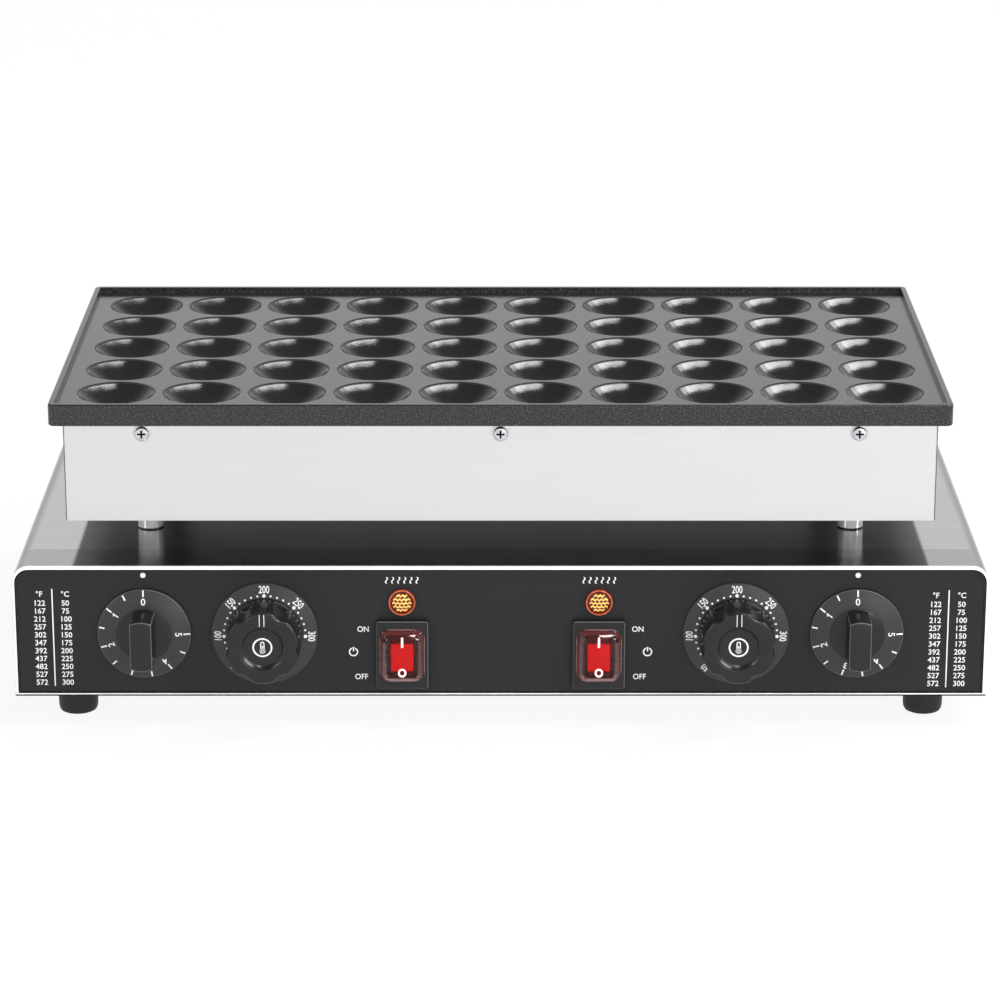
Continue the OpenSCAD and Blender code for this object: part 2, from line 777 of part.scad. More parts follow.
module post_front_left() { post(-1, -1); }
module post_front_right() { post(1, -1); }
module post_back_left() { post(-1, 1); }
module post_back_right() { post(1, 1); }

module post_nuts() {
  bore_d = post_thread_d + 2 * shaft_fit;
  color(zinc) at_corners(post_x, post_y) {
    translate([0, 0, housing_z + sheet_t]) hex_nut(post_nut_af, post_nut_t, bore_d);
    translate([0, 0, base_top - sheet_t - post_nut_t]) hex_nut(post_nut_af, post_nut_t, bore_d);
  }
}

// Top and sides in one folded sheet, with a rolled edge round the front and back openings
module base_shell() {
  r = base_corner_r;
  color(steel) difference() {
    on_front(0, sheet_t) arch_sweep(base_w, base_h - sheet_t, r) difference() {
      tab(r - border, r, -base_d, 0, roll_r);
      tab(r - border - cut, r - sheet_t, sheet_t - base_d, -sheet_t, roll_r - sheet_t);
    }
    at_corners(post_x, post_y) translate([0, 0, base_top - sheet_t - cut])
      cylinder(d = post_thread_d + 2 * hole_fit, h = sheet_t + 2 * cut);
  }
}

// A flat panel inside the rolled edge, with a flange along its foot
module panel_sheet() {
  inset = roll_r + panel_fit;
  w = base_w - 2 * inset;
  translate([0, 0, panel_back]) linear_extrude(sheet_t) translate([0, sheet_t])
    arch(w, base_h - inset - sheet_t, base_corner_r - inset);
  difference() {
    translate([-w / 2, sheet_t, panel_back - flange_d]) cube([w, sheet_t, flange_d]);
    for (x = bottom_screw_xs) translate([x, 0, panel_back - flange_d / 2])
      rotate([-90, 0, 0]) cylinder(d = bottom_screw_d, h = 2 * sheet_t + cut);
  }
}

// The holes that the controls pass through, as one outline seen from the front
module control_holes() {
  for (s = sides) {
    for (x = [thermostat_x, timer_x]) translate([s * x, control_rise]) circle(d = bush_d + 2 * hole_fit);
    translate([s * switch_x, lamp_rise]) circle(d = neck_d + 2 * hole_fit);
    translate([s * switch_x, switch_rise])
      square([switch_body_w + 2 * hole_fit, switch_body_h + 2 * hole_fit], center = true);
  }
}

module front_panel() {
  color(steel) on_front(0, 0) difference() {
    panel_sheet();
    translate([0, 0, panel_back - cut]) linear_extrude(sheet_t + 2 * cut) control_holes();
  }
}

module panel_overlay() {
  inset = border + overlay_fit;
  color(overlay_grey) on_front(0, 0) difference() {
    translate([0, overlay_rise, -sheet_t]) linear_extrude(overlay_t)
      arch(base_w - 2 * inset, base_h - inset - overlay_rise, base_corner_r - inset);
    translate([0, 0, -sheet_t - cut]) linear_extrude(overlay_t + 2 * cut) control_holes();
  }
}

module back_panel() {
  color(steel) on_back(0, 0) difference() {
    panel_sheet();
    translate([-gland_x, gland_rise, panel_back - cut])
      cylinder(d = gland_thread_d + 2 * hole_fit, h = sheet_t + 2 * cut);
  }
}

module bottom_plate() {
  vent_y = (vent_count - 1) / 2 * vent_pitch;
  color(steel) translate([0, mid_y, base_z]) difference() {
    translate([-base_w / 2, -base_d / 2, 0]) cube([base_w, base_d, sheet_t]);
    for (s = sides, y = [-vent_y : vent_pitch : vent_y])
      translate([s * thermostat_x, y, -cut]) linear_extrude(sheet_t + 2 * cut)
        rounded_rect(vent_len, vent_w, vent_w / 2 - sheet_t / 2);
    for (sx = sides, sy = sides) translate([sx * foot_x, sy * foot_y, -cut])
      cylinder(d = foot_bolt_d + 2 * hole_fit, h = sheet_t + 2 * cut);
    for (x = bottom_screw_xs, sy = sides) translate([x, sy * bottom_screw_y, -cut])
      cylinder(d = bottom_screw_d + 2 * hole_fit, h = sheet_t + 2 * cut);
    translate([earth_x, block_y - mid_y, -cut])
      cylinder(d = earth_d + 2 * hole_fit, h = sheet_t + 2 * cut);
  }
}

module bottom_screws() {
  color(zinc) translate([0, mid_y, base_z]) for (x = bottom_screw_xs, sy = sides)
    translate([x, sy * bottom_screw_y, 0]) mirror([0, 0, 1])
      pan_screw(bottom_screw_d - 2 * shaft_fit, 4 * sheet_t, 2 * bottom_screw_d, bottom_head_h);
}

// A rubber foot with a deep seat for its bolt
module foot(sx, sy) {
  color(black) translate([sx * foot_x, mid_y + sy * foot_y, 0]) difference() {
    cylinder(d1 = foot_tip_d, d2 = foot_d, h = foot_h);
    translate([0, 0, -cut]) cylinder(d = foot_bolt_d + 2 * hole_fit, h = foot_h + 2 * cut);
    translate([0, 0, -cut]) cylinder(d = 2 * foot_bolt_d + 2 * hole_fit, h = foot_h - foot_seat + cut);
  }
}

module foot_front_left() { foot(-1, -1); }
module foot_front_right() { foot(1, -1); }
module foot_back_left() { foot(-1, 1); }
module foot_back_right() { foot(1, 1); }

module foot_bolts() {
  len = foot_seat + 3 * sheet_t + foot_bolt_d;
  color(zinc) at_corners(foot_x, foot_y) translate([0, 0, foot_h - foot_seat]) mirror([0, 0, 1])
    pan_screw(foot_bolt_d - 2 * shaft_fit, len, 2 * foot_bolt_d, head_h_share * foot_bolt_d);
}

module foot_nuts() {
  color(zinc) at_corners(foot_x, foot_y) translate([0, 0, base_z + sheet_t])
    hex_nut(nut_af_share * foot_bolt_d, nut_t_share * foot_bolt_d, foot_bolt_d);
}

// The bore that a shaft turns in, from its seat in the body to the end of the bush
module shaft_bore(reach) {
  translate([0, 0, panel_back - shaft_seat - hole_fit])
    cylinder(d = shaft_d + 2 * shaft_fit, h = reach - panel_back + shaft_seat + hole_fit + cut);
}

// Blade terminals on the back of a control, with its body from z = -len to 0
module blades(len, spread) {
  for (s = sides) translate([s * spread - blade_t / 2, -blade_w / 2, -len - blade_l])
    cube([blade_t, blade_w, blade_l + cut]);
}

module timer_body() {
  reach = overlay_face + bush_reach;
  difference() {
    union() {
      translate([0, 0, panel_back - timer_body_l]) cylinder(d = timer_body_d, h = timer_body_l);
      translate([0, 0, panel_back - cut]) cylinder(d = bush_d, h = reach - panel_back + cut);
      translate([0, 0, panel_back]) blades(timer_body_l, timer_body_d / 4);
    }
    shaft_bore(reach);
  }
}

module timer_body_left() { color(zinc) on_front(-timer_x, control_rise) timer_body(); }
module timer_body_right() { color(zinc) on_front(timer_x, control_rise) timer_body(); }

// A shaft with a flat on the end that its knob grips
module shaft(tip) {
  flat_depth = shaft_d / 6;
  difference() {
    translate([0, 0, panel_back - shaft_seat]) cylinder(d = shaft_d, h = tip - panel_back + shaft_seat);
    translate([-shaft_d, shaft_d / 2 - flat_depth, tip - shaft_grip + knob_gap])
      cube([2 * shaft_d, shaft_d, shaft_grip]);
  }
}

module timer_shaft_left() { color(zinc) on_front(-timer_x, control_rise) shaft(timer_tip); }
module timer_shaft_right() { color(zinc) on_front(timer_x, control_rise) shaft(timer_tip); }

// The pocket round a bush nut and the bore that grips the shaft
module knob_bore(floor_z, tip) {
  translate([0, 0, floor_z - cut]) cylinder(r = nut_pocket_r, h = bush_reach + cut);
  translate([0, 0, floor_z]) cylinder(d = shaft_d + 2 * knob_fit, h = tip - floor_z + knob_gap);
}

// A numbered skirt that slopes up to a boss with a grip bar across it
module timer_knob() {
  boss_r = timer_boss_d / 2;
  difference() {
    translate([0, 0, timer_z]) union() {
      rotate_extrude() polygon([
        [0, 0], [timer_skirt_d / 2, 0], [timer_skirt_d / 2, timer_skirt_edge], [boss_r, timer_skirt_t],
        [boss_r, timer_boss_h], [0, timer_boss_h]
      ]);
      linear_extrude(timer_skirt_t + timer_grip_h)
        intersection() {
          circle(boss_r);
          rounded_rect(timer_grip_w, timer_boss_d - timer_grip_r, timer_grip_r);
        }
    }
    knob_bore(overlay_face, timer_tip);
  }
}

module timer_knob_left() { color(black) on_front(-timer_x, control_rise) timer_knob(); }
module timer_knob_right() { color(black) on_front(timer_x, control_rise) timer_knob(); }

module thermostat_body() {
  w = thermostat_body_w;
  reach = overlay_face + bezel_floor + bush_reach;
  difference() {
    union() {
      translate([0, 0, panel_back - thermostat_body_l]) linear_extrude(thermostat_body_l)
        rounded_rect(w, w, w / 8);
      translate([0, 0, panel_back - cut]) cylinder(d = bush_d, h = reach - panel_back + cut);
      translate([0, 0, panel_back]) blades(thermostat_body_l, w / 3);
    }
    shaft_bore(reach);
  }
}

module thermostat_body_left() { color(zinc) on_front(-thermostat_x, control_rise) thermostat_body(); }
module thermostat_body_right() { color(zinc) on_front(thermostat_x, control_rise) thermostat_body(); }
module thermostat_shaft_left() { color(zinc) on_front(-thermostat_x, control_rise) shaft(grip_tip); }
module thermostat_shaft_right() { color(zinc) on_front(thermostat_x, control_rise) shaft(grip_tip); }

// A fixed ring whose face slopes out from the well that the knob turns in
module thermostat_bezel() {
  well_r = grip_d / 2 + knob_gap;
  color(black) translate([0, 0, overlay_face]) rotate_extrude() polygon([
    [bush_d / 2 + hole_fit, 0], [bezel_d / 2, 0], [bezel_d / 2, bezel_edge],
    [well_r + knob_gap, bezel_t], [well_r, bezel_t], [well_r, bezel_floor],
    [bush_d / 2 + hole_fit, bezel_floor]
  ]);
}

module thermostat_bezel_left() { on_front(-thermostat_x, control_rise) thermostat_bezel(); }
module thermostat_bezel_right() { on_front(thermostat_x, control_rise) thermostat_bezel(); }

// A lobed grip with a dish in its face and a pointer mark on its top lobe
module thermostat_knob() {
  flute_at = grip_d / 2 - flute_depth + flute_r;
  difference() {
    translate([0, 0, grip_z]) cylinder(d = grip_d, h = grip_h);
    for (i = [0 : grip_flutes - 1]) rotate(90 + (i + 0.5) * 360 / grip_flutes)
      translate([flute_at, 0, grip_z + grip_collar]) cylinder(r = flute_r, h = grip_h);
    translate([0, 0, grip_z + grip_h - dish_depth]) cylinder(d = dish_d, h = dish_depth + cut);
    translate([-pointer_w / 2, grip_d / 2 - pointer_len, grip_z + grip_h - pointer_depth])
      cube([pointer_w, pointer_len + cut, pointer_depth + cut]);
    knob_bore(overlay_face + bezel_floor, grip_tip);
  }
}

module thermostat_knob_left() { color(black) on_front(-thermostat_x, control_rise) thermostat_knob(); }
module thermostat_knob_right() { color(black) on_front(thermostat_x, control_rise) thermostat_knob(); }

module control_nuts() {
  bore_d = bush_d + 2 * shaft_fit;
  color(zinc) for (s = sides) {
    on_front(s * timer_x, control_rise) translate([0, 0, overlay_face])
      hex_nut(bush_nut_af, bush_nut_t, bore_d);
    on_front(s * thermostat_x, control_rise) translate([0, 0, overlay_face + bezel_floor])
      hex_nut(bush_nut_af, bush_nut_t, bore_d);
  }
}

// A sensing bulb between the tubes, and its capillary down the post to the thermostat
module capillary(s) {
  route = [
    [bulb_x + bulb_len / 2, mid_y, tube_z],
    [capillary_x, mid_y, tube_z],
    [capillary_x, mid_y - post_y, tube_z],
    [capillary_x, mid_y - post_y, capillary_low],
    [post_x, mid_y - post_y, capillary_low],
    [post_x, mid_y - post_y, capillary_z],
    [thermostat_x, mid_y - post_y, capillary_z],
    [thermostat_x, front_y - panel_back + thermostat_body_l, capillary_z]
  ];
  r = capillary_r;
  color(brass) mirror([s < 0 ? 1 : 0, 0, 0]) {
    translate([bulb_x, mid_y, tube_z]) rotate([0, 90, 0]) cylinder(d = element_d, h = bulb_len);
    pipe(route, [r, r, r, r, r, r], capillary_d);
  }
}

module capillary_left() { capillary(-1); }
module capillary_right() { capillary(1); }

// The switch's frame and body, with a well for the rocker and holes for its pins
module switch_frame() {
  difference() {
    union() {
      translate([0, 0, overlay_face]) linear_extrude(frame_out - overlay_face)
        rounded_rect(frame_w, frame_h, frame_r);
      translate([0, 0, panel_back - switch_body_l]) linear_extrude(switch_body_l - panel_back)
        square([switch_body_w, switch_body_h], center = true);
      translate([0, 0, panel_back]) blades(switch_body_l, switch_body_w / 4);
    }
    translate([0, 0, frame_out - well_deep]) linear_extrude(well_deep + cut)
      square([rocker_w + 2 * rocker_gap, well_h], center = true);
    translate([0, 0, frame_out - pivot_in]) rotate([0, 90, 0])
      cylinder(d = pivot_d + 2 * shaft_fit, h = rocker_w + 2 * (pivot_len + rocker_gap), center = true);
  }
}

module switch_frame_left() { color(black) on_front(-switch_x, switch_rise) switch_frame(); }
module switch_frame_right() { color(black) on_front(switch_x, switch_rise) switch_frame(); }

// A clear domed cover that seals on the frame's face
module switch_cover() {
  t = cover_t;
  color("#7a1f24", 0.5) translate([0, 0, frame_out]) difference() {
    pillow(cover_w, cover_h, cover_out, cover_r, cover_edge);
    translate([0, 0, -cut])
      pillow(cover_w - 2 * t, cover_h - 2 * t, cover_out - t + cut, cover_r - t, cover_edge - t);
  }
}

module switch_cover_left() { on_front(-switch_x, switch_rise) switch_cover(); }
module switch_cover_right() { on_front(switch_x, switch_rise) switch_cover(); }

// A rocker on two pins, drawn with its top pressed in
module rocker() {
  half = rocker_h / 2;
  color("#c8102e") translate([0, 0, frame_out - pivot_in]) rotate([-rocker_tilt, 0, 0]) {
    extrude_x(rocker_w) polygon([
      [-half, -rocker_back], [half, -rocker_back], [half, rocker_out + rocker_rise],
      [0, rocker_out], [-half, rocker_out + rocker_rise]
    ]);
    rotate([0, 90, 0]) cylinder(d = pivot_d, h = rocker_w + 2 * pivot_len, center = true);
  }
}

module rocker_left() { on_front(-switch_x, switch_rise) rocker(); }
module rocker_right() { on_front(switch_x, switch_rise) rocker(); }

// A rimmed lens with a neck through the panel
module lamp_lens() {
  rim_t = lens_out * 0.6;
  seat = rim_t * 0.7;
  crown_d = lens_d * 0.72;
  crown_h = lens_out - seat;
  neck_z = panel_back - overlay_face - sheet_t;
  crown_r = (crown_d * crown_d / 4 + crown_h * crown_h) / (2 * crown_h);
  color("#f08a24") translate([0, 0, overlay_face]) rotate_extrude() {
    difference() {
      union() {
        square([lens_d / 2 - rim_t / 2, rim_t]);
        square([lens_d / 2, rim_t / 2]);
        translate([lens_d / 2 - rim_t / 2, rim_t / 2]) circle(rim_t / 2);
      }
      translate([0, seat]) square([crown_d / 2, lens_out]);
      translate([-lens_d, -lens_d]) square([3 * lens_d, lens_d]);
    }
    intersection() {
      translate([0, lens_out - crown_r]) circle(crown_r);
      translate([0, seat / 2]) square([crown_d / 2, lens_out]);
    }
    translate([0, neck_z]) square([neck_d / 2, -neck_z]);
  }
}

module lamp_lens_left() { on_front(-switch_x, lamp_rise) lamp_lens(); }
module lamp_lens_right() { on_front(switch_x, lamp_rise) lamp_lens(); }

module lamp_body() {
  z = panel_back - lamp_body_l;
  color(black) {
    difference() {
      translate([0, 0, z]) cylinder(d = lamp_body_d, h = lamp_body_l);
      translate([0, 0, panel_back - sheet_t - hole_fit])
        cylinder(d = neck_d + 2 * hole_fit, h = sheet_t + hole_fit + cut);
    }
    translate([0, 0, panel_back]) blades(lamp_body_l, lamp_body_d / 4);
  }
}

module lamp_body_left() { on_front(-switch_x, lamp_rise) lamp_body(); }
module lamp_body_right() { on_front(switch_x, lamp_rise) lamp_body(); }

module terminal_block() {
  color("#e9e4d4") translate([gland_x - block_len / 2, block_y - block_d / 2, block_z]) difference() {
    cube([block_len, block_d, block_h]);
    for (i = [0 : block_ways - 1]) translate([(i + 0.5) * way_step, block_d / 2, 0])
      translate([0, 0, block_h / 2]) cylinder(d = block_screw_d, h = block_h);
  }
}

module terminal_screws() {
  d = block_screw_d - 2 * shaft_fit;
  color(brass) for (i = [0 : block_ways - 1])
    translate([gland_x + (i + 0.5) * way_step - block_len / 2, block_y, block_z + block_h / 2])
      difference() {
        cylinder(d = d, h = block_h / 2 - sheet_t);
        translate([-d, -d / 10, block_h / 2 - 2 * sheet_t]) cube([2 * d, d / 5, 2 * sheet_t]);
      }
}

// The gland's flange seats on the back panel, with a hexagon and a rounded cap outside it
module cable_gland() {
  flange_r = gland_af / 2 / cos(30) + sheet_t;
  cap_z = gland_flange_t + gland_hex_t;
  seat = -sheet_t;
  inner = post_nut_t + 2 * sheet_t;
  color(black) on_back(gland_x, gland_rise) difference() {
    union() {
      translate([0, 0, seat]) cylinder(r = flange_r, h = gland_flange_t - seat);
      translate([0, 0, gland_flange_t]) cylinder(d = gland_af / cos(30), h = gland_hex_t, $fn = hex_fn);
      translate([0, 0, cap_z])
        cylinder(d1 = gland_af, d2 = gland_bore + 6 * sheet_t, h = gland_out - cap_z);
      translate([0, 0, panel_back - inner]) cylinder(d = gland_thread_d, h = inner - panel_back);
    }
    translate([0, 0, panel_back - inner - cut])
      cylinder(d = gland_bore, h = gland_out - panel_back + inner + 2 * cut);
  }
}

module gland_nut() {
  color(black) on_back(gland_x, gland_rise) translate([0, 0, panel_back - post_nut_t])
    hex_nut(gland_af, post_nut_t, gland_thread_d + 2 * shaft_fit);
}

module earth_stud() {
  color(brass) translate([earth_x, block_y, base_z]) {
    mirror([0, 0, 1]) pan_screw(earth_d, earth_len, 2 * earth_d, bottom_head_h);
    translate([0, 0, sheet_t])
      cylinder(d = nut_af_share * earth_d / cos(30), h = nut_t_share * earth_d, $fn = hex_fn);
  }
}

baking_plate();
plate_screws();
plate_washers();
heater_housing();
insulation_mat();
reflector_sheet();
heating_element_left();
heating_element_right();
element_clamps();
clamp_screws();
post_front_left();
post_front_right();
post_back_left();
post_back_right();
post_nuts();
base_shell();
front_panel();
panel_overlay();
back_panel();
bottom_plate();
bottom_screws();
foot_front_left();
foot_front_right();
foot_back_left();
foot_back_right();
foot_bolts();
foot_nuts();
timer_body_left();
timer_body_right();
timer_shaft_left();
timer_shaft_right();
timer_knob_left();
timer_knob_right();
thermostat_body_left();
thermostat_body_right();
thermostat_shaft_left();
thermostat_shaft_right();
thermostat_knob_left();
thermostat_knob_right();
thermostat_bezel_left();
thermostat_bezel_right();
control_nuts();
capillary_left();
capillary_right();
switch_frame_left();
switch_frame_right();
switch_cover_left();
switch_cover_right();
rocker_left();
rocker_right();
lamp_lens_left();
lamp_lens_right();
lamp_body_left();
lamp_body_right();
terminal_block();
terminal_screws();
cable_gland();
gland_nut();
earth_stud();
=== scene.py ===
import json
import math
import bpy
from mathutils import Matrix, Vector


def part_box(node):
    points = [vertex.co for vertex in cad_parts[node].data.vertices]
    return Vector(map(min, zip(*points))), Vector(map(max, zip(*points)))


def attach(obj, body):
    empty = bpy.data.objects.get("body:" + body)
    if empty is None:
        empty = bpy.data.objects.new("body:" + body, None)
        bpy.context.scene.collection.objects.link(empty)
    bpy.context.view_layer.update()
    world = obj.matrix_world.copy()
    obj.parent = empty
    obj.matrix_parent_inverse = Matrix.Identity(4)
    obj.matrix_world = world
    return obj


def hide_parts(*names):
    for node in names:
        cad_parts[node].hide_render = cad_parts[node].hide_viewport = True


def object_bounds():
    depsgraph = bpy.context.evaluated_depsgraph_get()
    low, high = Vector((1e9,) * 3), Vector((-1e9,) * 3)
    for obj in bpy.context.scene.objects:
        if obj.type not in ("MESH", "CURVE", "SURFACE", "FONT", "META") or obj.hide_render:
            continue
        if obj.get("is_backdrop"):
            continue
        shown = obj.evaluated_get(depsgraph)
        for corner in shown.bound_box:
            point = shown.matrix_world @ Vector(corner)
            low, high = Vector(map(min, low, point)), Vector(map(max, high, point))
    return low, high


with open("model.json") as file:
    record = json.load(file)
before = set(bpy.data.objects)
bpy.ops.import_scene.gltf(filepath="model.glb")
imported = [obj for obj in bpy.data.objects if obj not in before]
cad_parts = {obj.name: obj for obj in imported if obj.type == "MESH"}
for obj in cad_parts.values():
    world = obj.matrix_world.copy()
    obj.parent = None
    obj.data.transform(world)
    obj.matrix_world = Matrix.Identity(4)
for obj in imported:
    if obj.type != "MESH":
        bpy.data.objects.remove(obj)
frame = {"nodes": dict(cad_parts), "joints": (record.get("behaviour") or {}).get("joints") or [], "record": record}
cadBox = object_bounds()
cadNodes = frame["nodes"]
mm = 0.001
sides = ("left", "right")
print("frame loaded:", len(cadNodes), "nodes")

# camera, fitted to the pits of the plate
camera = {
    "place": (-0.0003, -2.18635, 0.7857),
    "pitchDown": 17.715,
    "lens": 134.9,
    "sensor": 36,
    "seesTo": 50,
}


def setCamera(s):
    bpy.ops.object.camera_add(location=s["place"], rotation=(math.radians(90 - s["pitchDown"]), 0, 0))
    cam = bpy.context.object
    cam.data.sensor_width = s["sensor"]
    cam.data.lens = s["lens"]
    cam.data.clip_end = s["seesTo"]
    bpy.context.scene.camera = cam


setCamera(camera)
print("camera set")


# node helpers, for a material or for the world
def setInputs(node, values):
    for key, value in values.items():
        node.inputs[key].default_value = value


def addNode(owner, kind, **inputs):
    node = owner.node_tree.nodes.new(kind)
    setInputs(node, inputs)
    return node


def link(owner, out, into):
    owner.node_tree.links.new(out, into)


def startFinish(name):
    mat = bpy.data.materials.new(name)
    mat.use_nodes = True
    return mat, mat.node_tree.nodes["Principled BSDF"]


def spread(owner, value, low, high, start=0.3, stop=0.7):
    node = addNode(owner, "ShaderNodeMapRange")
    setInputs(node, {"From Min": start, "From Max": stop, "To Min": low, "To Max": high})
    link(owner, value, node.inputs["Value"])
    return node.outputs["Result"]


def combine(owner, operation, first, second):
    node = addNode(owner, "ShaderNodeMath")
    node.operation = operation
    link(owner, first, node.inputs[0])
    link(owner, second, node.inputs[1])
    return node.outputs[0]


def colorMix(owner, factor, under, over):
    # each of the two is a plain colour or another node's output
    mix = addNode(owner, "ShaderNodeMix")
    mix.data_type = "RGBA"
    link(owner, factor, mix.inputs["Factor"])
    for key, color in (("A", under), ("B", over)):
        if isinstance(color, tuple):
            mix.inputs[key].default_value = (*color, 1)
        else:
            link(owner, color, mix.inputs[key])
    return mix.outputs["Result"]


def axisParts(owner, vector):
    parts = addNode(owner, "ShaderNodeSeparateXYZ")
    link(owner, vector, parts.inputs["Vector"])
    return parts.outputs


def mixShaders(mat, factor, first, second):
    mix = addNode(mat, "ShaderNodeMixShader")
    link(mat, factor, mix.inputs["Fac"])
    link(mat, first, mix.inputs[1])
    link(mat, second, mix.inputs[2])
    return mix.outputs[0]


# studio: a pale floor, a white surround and soft lamps
white = (1, 1, 1)
studio = {
    "floorSize": 14,
    "floorColor": (0.78, 0.78, 0.78, 1),
    "floorRough": 0.9,
    "floorGloss": 0.1,
    "floorWhite": 0.9,  # share of plain white that the camera and reflections see
    "surround": 0.5,
    "horizonTo": 0.34,  # a reflection sees white up to here
    "ceiling": 0.22,  # and this from here upwards
    "ceilingFrom": 0.74,
    "lamps": [
        {"name": "highStripLamp", "place": (2.53, -1.71, 7.14), "aim": (0, 0, 0.18),
         "along": (4.17, 2.33, -1.04), "size": (1.1, 5.04), "power": 268},
        {"name": "midStripLamp", "place": (5.19, 1.08, 5.78), "aim": (0, 0, 0.18),
         "along": (1.11, 3.27, -1.69), "size": (1.3, 3.85), "power": 245},
        {"name": "lowStripLamp", "place": (5.43, 3.63, 4.14), "aim": (0, 0, 0.18),
         "along": (-1.48, 3.76, -2.89), "size": (1.2, 2.57), "power": 60},
        {"name": "sideLamp", "place": (5.04, -3.17, 3.76), "aim": (0, -0.16, 0.05),
         "along": (-0.55, -0.1, 0.565), "size": (1.0, 4.4), "power": 250},
        {"name": "frontLamp", "place": (2.2, -6.2, 0.56), "aim": (0, -0.16, 0.06),
         "along": (0, 0, 1), "size": (1.8, 1.05), "power": 45},
        {"name": "leftLamp", "place": (-3.9, -3.3, 2.2), "aim": (0, -0.05, 0.1),
         "along": (0, 0, 1), "size": (0.9, 2.3), "power": 50},
    ],
}


def backgroundRay(owner):
    # 1 where the camera, a reflection or a see-through piece looks at the surround
    path = addNode(owner, "ShaderNodeLightPath").outputs
    seen = combine(owner, "MAXIMUM", path["Is Camera Ray"], path["Is Glossy Ray"])
    return combine(owner, "MAXIMUM", seen, path["Is Transmission Ray"])


def setSurround(s):
    world = bpy.data.worlds.new("studioWorld")
    bpy.context.scene.world = world
    world.use_nodes = True
    glow = world.node_tree.nodes["Background"]
    link(world, spread(world, backgroundRay(world), s["surround"], 1, 0, 1), glow.inputs["Strength"])
    height = axisParts(world, addNode(world, "ShaderNodeTexCoord").outputs["Generated"])["Z"]
    dimming = spread(world, height, 1, s["ceiling"], s["horizonTo"], s["ceilingFrom"])
    mirrored = addNode(world, "ShaderNodeLightPath").outputs["Is Glossy Ray"]
    link(world, colorMix(world, mirrored, white, dimming), glow.inputs["Color"])


def setFloor(s):
    bpy.ops.mesh.primitive_plane_add(size=s["floorSize"])
    floor = bpy.context.object
    floor.name = "studioFloor"
    mat, paper = startFinish("floorPaper")
    setInputs(paper, {"Base Color": s["floorColor"], "Roughness": s["floorRough"]})
    setInputs(paper, {"Specular IOR Level": s["floorGloss"]})
    plain = addNode(mat, "ShaderNodeEmission", Color=(*white, 1))
    share = spread(mat, backgroundRay(mat), 0, s["floorWhite"], 0, 1)
    both = mixShaders(mat, share, paper.outputs[0], plain.outputs[0])
    clear = addNode(mat, "ShaderNodeBsdfTransparent").outputs[0]
    fromBelow = addNode(mat, "ShaderNodeNewGeometry").outputs["Backfacing"]
    oneSided = mixShaders(mat, fromBelow, both, clear)  # seen from below, the paper is clear
    link(mat, oneSided, mat.node_tree.nodes["Material Output"].inputs["Surface"])
    floor.data.materials.append(mat)
    floor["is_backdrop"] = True


def setLamps(s):
    for lamp in s["lamps"]:
        bpy.ops.object.light_add(type="AREA", location=lamp["place"])
        light = bpy.context.object
        light.name = lamp["name"]
        light.data.shape = "RECTANGLE"
        light.data.size, light.data.size_y = lamp["size"]
        light.data.energy = lamp["power"]
        light.visible_camera = False
        away = (Vector(lamp["place"]) - Vector(lamp["aim"])).normalized()
        along = Vector(lamp["along"])
        along = (along - along.project(away)).normalized()
        turn = Matrix((along.cross(away), along, away)).transposed()
        light.rotation_euler = turn.to_euler()


bpy.context.scene.view_settings.view_transform = "Standard"
setSurround(studio)
setFloor(studio)
setLamps(studio)
print("studio set")

